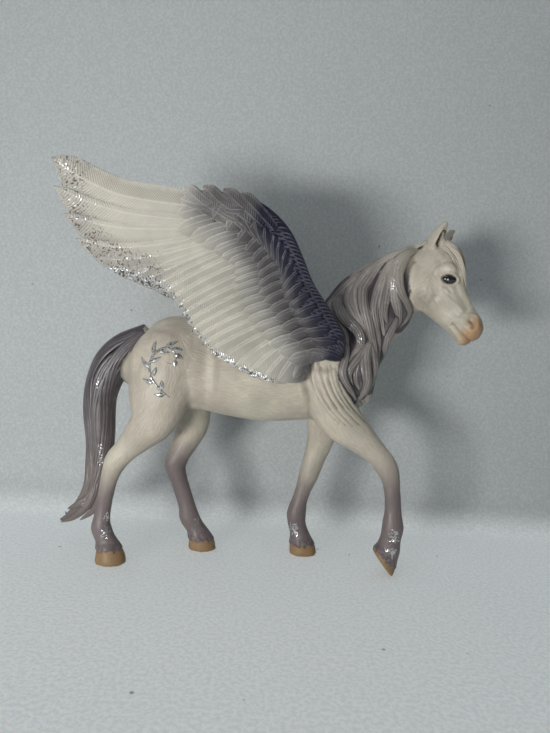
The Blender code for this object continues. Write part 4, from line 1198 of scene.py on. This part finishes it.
MEDIAN_LINE = ((-34, 45), (-36.5, 40), (-29, 34), (-22, 26), (-21.2, 17.7), (-13.5, 6.8), (-4, -1.8))
MEDIAN_WIDTHS = (4, 3.8, 3.6, 3, 2.6, 2.2, 2, 2, 2, 2.1, 2.2, 2.4, 2.6, 2.8, 3, 3, 3.2)
LESSER_LINE = ((-25, 44), (-27.5, 39.5), (-21, 33), (-14.8, 26), (-14, 17.7), (-7.5, 8), (-0.5, 0.5))
LESSER_WIDTHS = (3, 3, 2.6, 2.4, 2.2, 2, 1.9, 1.9, 1.9, 1.9, 2, 2.2, 2.3, 2.4, 2.5, 2.6, 2.7, 2.8)
HAND_COVERTS = (((-27, 37.5), (-37, 42.5), (-43.2, 47)), ((-24, 38.5), (-32.5, 43.4), (-37.8, 47.6)),
                ((-20.5, 38), (-27.5, 43.4), (-32.2, 47.2)), ((-17, 37), (-23, 42.6), (-27.4, 46.4)))
BARB_SPACING = 0.74
BARB_FINEST = 0.62
FEATHER_TILT = math.radians(6.0)


def on_wing(u, v, w):
    """A place on the right wing: u forward, v up the spread wing, w outwards through it, in mm."""
    rise = np.maximum(v, 0.0)
    out = WING_ROOT[1] + rise * math.sin(WING_SPREAD) + w * math.cos(WING_SPREAD)
    return np.stack([WING_ROOT[0] + u * math.cos(WING_SWEEP), u * math.sin(WING_SWEEP) - out,
                     WING_ROOT[2] + v * math.cos(WING_SPREAD) - w * math.sin(WING_SPREAD)], axis=-1)


arm_line = smooth_line(WING_ARM, 6)


def arm_bulk(u, v):
    """Half the thickness that the arm gives the wing at a place."""
    nearest = np.full(u.shape, 1e9)
    bulk = np.zeros(u.shape)
    for start, end in zip(arm_line, arm_line[1:]):
        run = end[:2] - start[:2]
        share = np.clip(((u - start[0]) * run[0] + (v - start[1]) * run[1]) / (run @ run), 0.0, 1.0)
        gap = np.hypot(u - start[0] - share * run[0], v - start[1] - share * run[1])
        along = start[2] + share * (end[2] - start[2])
        through = start[3] + share * (end[3] - start[3])
        height = through * np.sqrt(np.maximum(0.0, 1.0 - (gap / along) ** 2))
        bulk = np.where(gap < nearest, height, bulk)
        nearest = np.minimum(gap, nearest)
    return bulk


def line_place(line, share):
    """A place part of the way along an open line."""
    line = np.array(line, float)[:, :2]
    travelled = np.concatenate([[0.0], np.cumsum(np.linalg.norm(np.diff(line, axis=0), axis=1))])
    return np.array([np.interp(share * travelled[-1], travelled, line[:, axis]) for axis in (0, 1)])


def lay_vane(bundle, path, behind, ahead=1.2, cut=6.5, face=0, lift=0.0, thick=1.3, bow=0.0, fine=True,
             spacing=BARB_SPACING, comb=0.0, rim_brush_and_highlight=0.0, rounding=1.7):
    """One feather: a thin blade with a raised shaft near its leading edge and slanting barbs, cut
    back to a point behind. face is 0 in the middle of the wing, 1 or -1 on one of its faces."""
    line = smooth_line(path, 8)
    travelled = np.concatenate([[0.0], np.cumsum(np.linalg.norm(np.diff(line, axis=0), axis=1))])
    length = travelled[-1]
    along = np.gradient(line, axis=0)
    along /= np.linalg.norm(along, axis=1)[:, None]
    rows = np.arange(2 * max(3, int(length / spacing / 2) * 2) + 1)
    t = (rows / rows[-1])[:, None]
    if fine:
        columns = np.array((-1.0, -0.5, -0.1, 0.0, 0.1, 0.3, 0.55, 0.8, 1.0))[None, :]
    else:
        columns = np.array((-1.0, 0.0, 0.25, 0.65, 1.0))[None, :]
    reach = np.where(columns < 0, -columns * ahead, columns * behind)
    slant = np.minimum(0.95 * reach / length, 0.3) * np.minimum(1.0, 5.0 * t + 0.2)
    e = np.minimum(t + slant * (1 - t ** 3), 1.0)
    shoulder = 1.0 - cut / length
    closing = np.clip((e - shoulder) / (1.0 - shoulder), 0.0, 1.0)
    trail = 0.45 + 0.55 * np.sin(np.minimum(e / 0.7, 1.0) * math.pi / 2)
    trail = trail * np.maximum(1 - closing ** rounding, 0.03)
    lead = (0.7 + 0.3 * np.minimum(e / 0.3, 1.0)) * np.maximum(1 - 0.97 * closing ** 2.6, 0.03)
    toothed = spacing <= BARB_SPACING
    tooth = np.where(rows % 2 == 1, 1.0, 0.0)[:, None] * toothed
    jag = 1.0 - 0.05 * (1 - tooth) * (np.abs(columns) > 0.9)
    across = np.where(columns < 0, columns * ahead * lead, columns * behind * trail) * jag
    bend = -bow * np.sin(math.pi * e)
    gone = e * length
    u = np.interp(gone, travelled, line[:, 0]) - np.interp(gone, travelled, along[:, 1]) * (across + bend)
    v = np.interp(gone, travelled, line[:, 1]) + np.interp(gone, travelled, along[:, 0]) * (across + bend)
    shaft = np.exp(-(columns / 0.07) ** 2)
    barb = tooth * (1 - shaft) * np.minimum(1.0, 5 * (1 - t)) * (1.0 + 1.6 * comb * (columns < 0))
    half = 0.5 * thick * (1 - 0.2 * e) * np.interp(columns, (-1.0, 0.0, 0.3, 1.0), (0.45, 0.85, 0.7, 0.3))
    half = half + 0.17 * thick * shaft * (1.1 - e) + 0.085 * barb
    slope_w = -across * math.sin(FEATHER_TILT)
    if face:
        slope_w = slope_w + face * (np.maximum(arm_bulk(u, v), 0.35) + lift + 0.5 * (e - 0.6))
    front = on_wing(u, v, slope_w + half)
    rear = on_wing(u, v, slope_w - half)
    rings = np.concatenate([front, rear[:, ::-1]], axis=1)
    ahead_share = np.clip(-columns, 0, 1)
    behind_share = np.clip(columns, 0, 1)
    # The rim marks shafts, edges and tips, which the paint lightens: partly dry-brush, partly painted
    # highlight.
    rim = np.maximum(np.maximum(ahead_share ** 2, 0.9 * shaft), behind_share ** 8) + 0 * e
    rim = np.maximum(np.maximum(rim, closing ** 2 * behind_share ** 0.5), rim_brush_and_highlight)
    barbs = 0.5 * rows[:, None] if toothed else t * length / BARB_FINEST
    # Painted shadow: a darker band on the vane where the next feather's edge lies over it.
    shade = bell((columns - 0.72) / 0.4) * (1 - closing)
    layers = [np.broadcast_to(layer, u.shape)
              for layer in (1 - shaft, rim, barbs, comb * (columns < 0), shade)]
    values = np.stack([np.concatenate([layer, layer[:, ::-1]], axis=1) for layer in layers], axis=-1)
    bundle.add_tube(rings, values)


def on_index(line, place):
    """A place on an open line, by the number of its points passed."""
    line = np.array(line, float)
    return np.array([np.interp(place, np.arange(len(line)), line[:, axis]) for axis in (0, 1)])


wing = Bundle()
for number, (path, behind, ahead) in enumerate(PRIMARIES):
    lay_vane(wing, path, behind, ahead=ahead, cut=8.0, comb=1.0 if number == 0 else 0.0, rounding=1.15)
for number in range(SECONDARIES):
    place = number * (len(SECONDARY_TIPS) - 1) / (SECONDARIES - 1)
    tip = on_index(SECONDARY_TIPS, place)
    following = on_index(SECONDARY_TIPS, place + 0.65)
    behind = 2.6 + np.linalg.norm(following - tip) * 0.95
    lay_vane(wing, (on_index(SECONDARY_BASES, place), tip), behind, ahead=0.9, cut=4.4, bow=0.6)


def lay_coverts(line, widths, length, face, lift):
    """One row of overlapping round-ended coverts along a line, from the hand to the shoulder."""
    ends = np.cumsum(widths)
    for width, end in zip(widths, ends):
        share = (end - 0.5 * width) / ends[-1]
        tip = line_place(line, share)
        root = line_place(WING_ARM[::-1], share)
        ahead = (tip - root) / np.linalg.norm(tip - root)
        lay_vane(wing, (tip - ahead * length, tip), width * 0.82 + 0.4, ahead=width * 0.42,
                 cut=width * 0.95, face=face, lift=lift, thick=1.0, bow=0.5, spacing=1.3)


for face in (1, -1):
    for path in HAND_COVERTS:
        lay_vane(wing, path, 2.7, ahead=2.2, cut=3.6, face=face, lift=0.45, thick=1.2)
    lay_coverts(GREATER_LINE, GREATER_WIDTHS, 12.0, face, 0.25)
    lay_coverts(MEDIAN_LINE, MEDIAN_WIDTHS, 9.0, face, 0.5)
    lay_coverts(LESSER_LINE, LESSER_WIDTHS, 8.0, face, 0.6)
    for row in range(4):
        for k in range(EDGE_STROKES):
            share = 0.86 * (k + 0.25 * row) / EDGE_STROKES
            place = line_place(WING_ARM, share)
            later = line_place(WING_ARM, min(1.0, share + 0.03))
            ahead = (later - place) / max(1e-6, np.linalg.norm(later - place))
            forwards = np.array((ahead[1], -ahead[0]))
            girth = np.interp(share * (len(WING_ARM) - 1), range(len(WING_ARM)),
                              [knot[2] for knot in WING_ARM])
            base = place + forwards * girth * (0.97 - 0.30 * row)
            way = ahead * 0.62 - forwards * 0.78
            lay_vane(wing, (base, base + way * 4.6), 0.26, ahead=0.2, cut=2.0, face=face, lift=0.12,
                     thick=0.42, bow=0.9, fine=False, spacing=1.5, rim_brush_and_highlight=0.75)
# A web joins the feathers' roots, and the arm runs along the leading edge.
rings = []
for share in np.linspace(0.0, 1.0, 24):
    root = line_place(WING_ARM[::-1], share)
    edge = root + (line_place(GREATER_LINE, share) - root) * 0.93
    u = np.array((root[0], edge[0], edge[0], root[0]))
    v = np.array((root[1], edge[1], edge[1], root[1]))
    rings.append(on_wing(u, v, np.array((0.55, 0.4, -0.4, -0.55))))
rings = np.array(rings)
wing.add_tube(rings, np.zeros((*rings.shape[:2], 5)))
turn = np.linspace(0.0, 2 * math.pi, 28, endpoint=False)
ahead = np.gradient(arm_line[:, :2], axis=0)
ahead /= np.linalg.norm(ahead, axis=1)[:, None]
rings = on_wing(arm_line[:, :1] + ahead[:, 1:2] * arm_line[:, 2:3] * np.cos(turn),
                arm_line[:, 1:2] - ahead[:, :1] * arm_line[:, 2:3] * np.cos(turn),
                arm_line[:, 3:4] * np.sin(turn))
wing.add_tube(rings, np.zeros((*rings.shape[:2], 5)))

right_wing = wing.piece("right_wing", ("vane", "rim", "barb", "comb", "under"))
points = points_of(right_wing)
u = (points[:, 0] - WING_ROOT[0]) / math.cos(WING_SWEEP)
v = (points[:, 2] - WING_ROOT[2]) / math.cos(WING_SPREAD)
LEADING_EDGE = ((6.5, -3.5), (7.5, 3), (2.5, 10), (-3, 18), (-8, 27), (-12, 34), (-16.5, 39.5))
HAND_LINE = ((-16.5, 39.5), (-24, 42), (-34, 43))
TRAILING_EDGE = ((-63.2, 21.6), (-57.8, 20), (-52.4, 19.2), (-48.6, 16.8), *SECONDARY_TIPS[3:11])
flat = np.stack([u, v], axis=1)
from_edge = line_distance(flat, LEADING_EDGE)
edge_dark = np.interp(from_edge, (0.0, 4.0, 7.0, 10.0, 14.0, 19.0, 27.0),
                      (1.0, 0.97, 0.78, 0.62, 0.47, 0.20, 0.0))
hand_dark = np.interp(line_distance(flat, HAND_LINE), (0.0, 4.0, 9.0, 13.0), (0.58, 0.5, 0.25, 0.0))
mark(right_wing, "dark", np.maximum(edge_dark, hand_dark))
mark(right_wing, "silver", bell(line_distance(flat, TRAILING_EDGE) / 3.6))
PRIMARY_TIPS = ((-75.8, 50.6), (-77.4, 43.6), (-76.2, 36.6), (-73.4, 30.4), (-68.2, 25.3), (-63.2, 21.6),
                (-57, 20.5))
mark(right_wing, "specks", bell(line_distance(flat, PRIMARY_TIPS) / 11.5))

wing_colours, paint = new_paint("wing_paint_layers")
dark = paint.mask("dark")
rim = paint.mask("rim")
vane = paint.mask("vane")
silver = paint.mask("silver")
specked = paint.mask("specks")
ivory_vane = paint.mix(paint.ramp(specked, 0.1, 0.8, 0.0, 0.6), (0.655, 0.63, 0.55), (0.44, 0.42, 0.385))
colour = paint.mix(paint.ramp(dark, 0.0, 0.34), ivory_vane, (0.44, 0.425, 0.405))
colour = paint.mix(paint.ramp(dark, 0.25, 0.62), colour, (0.13, 0.124, 0.13))
colour = paint.mix(paint.ramp(dark, 0.66, 0.92), colour, (0.016, 0.015, 0.042))
wave = paint.sums("SINE", paint.times(paint.sums("SUBTRACT", paint.mask("barb"), 0.25), 2 * math.pi), 0.0)
# Painted shade in the troughs between the barbs, stronger on the darker paint and on the combed vane.
trough = paint.times(paint.ramp(wave, -1.0, 0.5, 1.0, 0.0), vane)
low = paint.mix(1.0, colour, (0.56, 0.54, 0.52), "MULTIPLY")
faint = paint.sums("ADD", paint.ramp(dark, 0.1, 0.5, 0.30, 0.55), paint.times(paint.mask("comb"), 0.5))
colour = paint.mix(paint.times(trough, faint), colour, low)
# Painted shadow where each feather lies under the next one's edge.
colour = paint.mix(paint.ramp(paint.mask("under"), 0.0, 1.0, 0.0, 0.6), colour, low)
pale = paint.mix(paint.ramp(dark, 0.25, 0.62), (0.77, 0.75, 0.68), (0.36, 0.35, 0.36))
pale = paint.mix(paint.ramp(dark, 0.66, 0.95), pale, (0.21, 0.21, 0.27))
# Pale on shafts, rims and tips: partly dry-brushed paint, partly painted highlight.
rim_brush_and_highlight = paint.times(paint.ramp(rim, 0.35, 1.0), paint.ramp(paint.noise(0.8), 0.3, 0.6, 0.35, 0.85))
colour = paint.mix(rim_brush_and_highlight, colour, pale)
colour = paint.use(patches_and_shade, {"Colour": colour, "Hollow Shade": 0.0, "Hollow Shade Colour": DARK_HAIR_AND_SHADE})["Colour"]
grit = paint.ramp(paint.noise(1.5, 1.0, 0.7), 0.585, 0.64)
colour = paint.mix(paint.times(grit, paint.ramp(specked, 0.12, 0.6)), colour, (0.12, 0.085, 0.07))
glitter = paint.larger(paint.ramp(silver, 0.15, 1.0, 0.0, 0.62),
                       paint.times(specked, paint.ramp(rim, 0.5, 0.95, 0.04, 0.75)))
flakes = paint.use(flaking, {"Mask": glitter, "Size": 0.5})
colour = paint.mix(flakes["Silver"], colour, SILVER)
gaps = paint.times(flakes["Dark"], paint.ramp(silver, 0.2, 0.9, 0.0, 0.85))
barbs = paint.bump(paint.times(wave, vane), 0.5, 0.09)
paint.finish({
    "Base Color": paint.mix(gaps, colour, (0.04, 0.04, 0.045)),
    "Metallic": paint.times(flakes["Silver"], 0.4),
    "Roughness": paint.mix(flakes["Silver"], (0.45, 0.45, 0.45), (0.25, 0.25, 0.25)),
    "Normal": paint.bump(paint.noise(2.6), 0.25, 0.06, barbs),
    "Coat Weight": 0.1,
})
right_wing.data.materials.append(wing_colours)

left_wing = right_wing.copy()
left_wing.data = right_wing.data.copy()
left_wing.name = "left_wing"
scene.collection.objects.link(left_wing)
left_wing.data.transform(Matrix.Scale(-1.0, 4, (0.0, 1.0, 0.0)))
left_wing.data.flip_normals()
for piece, node in ((right_wing, "wing_right"), (left_wing, "wing_left")):
    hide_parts(node)
    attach(piece, "root")
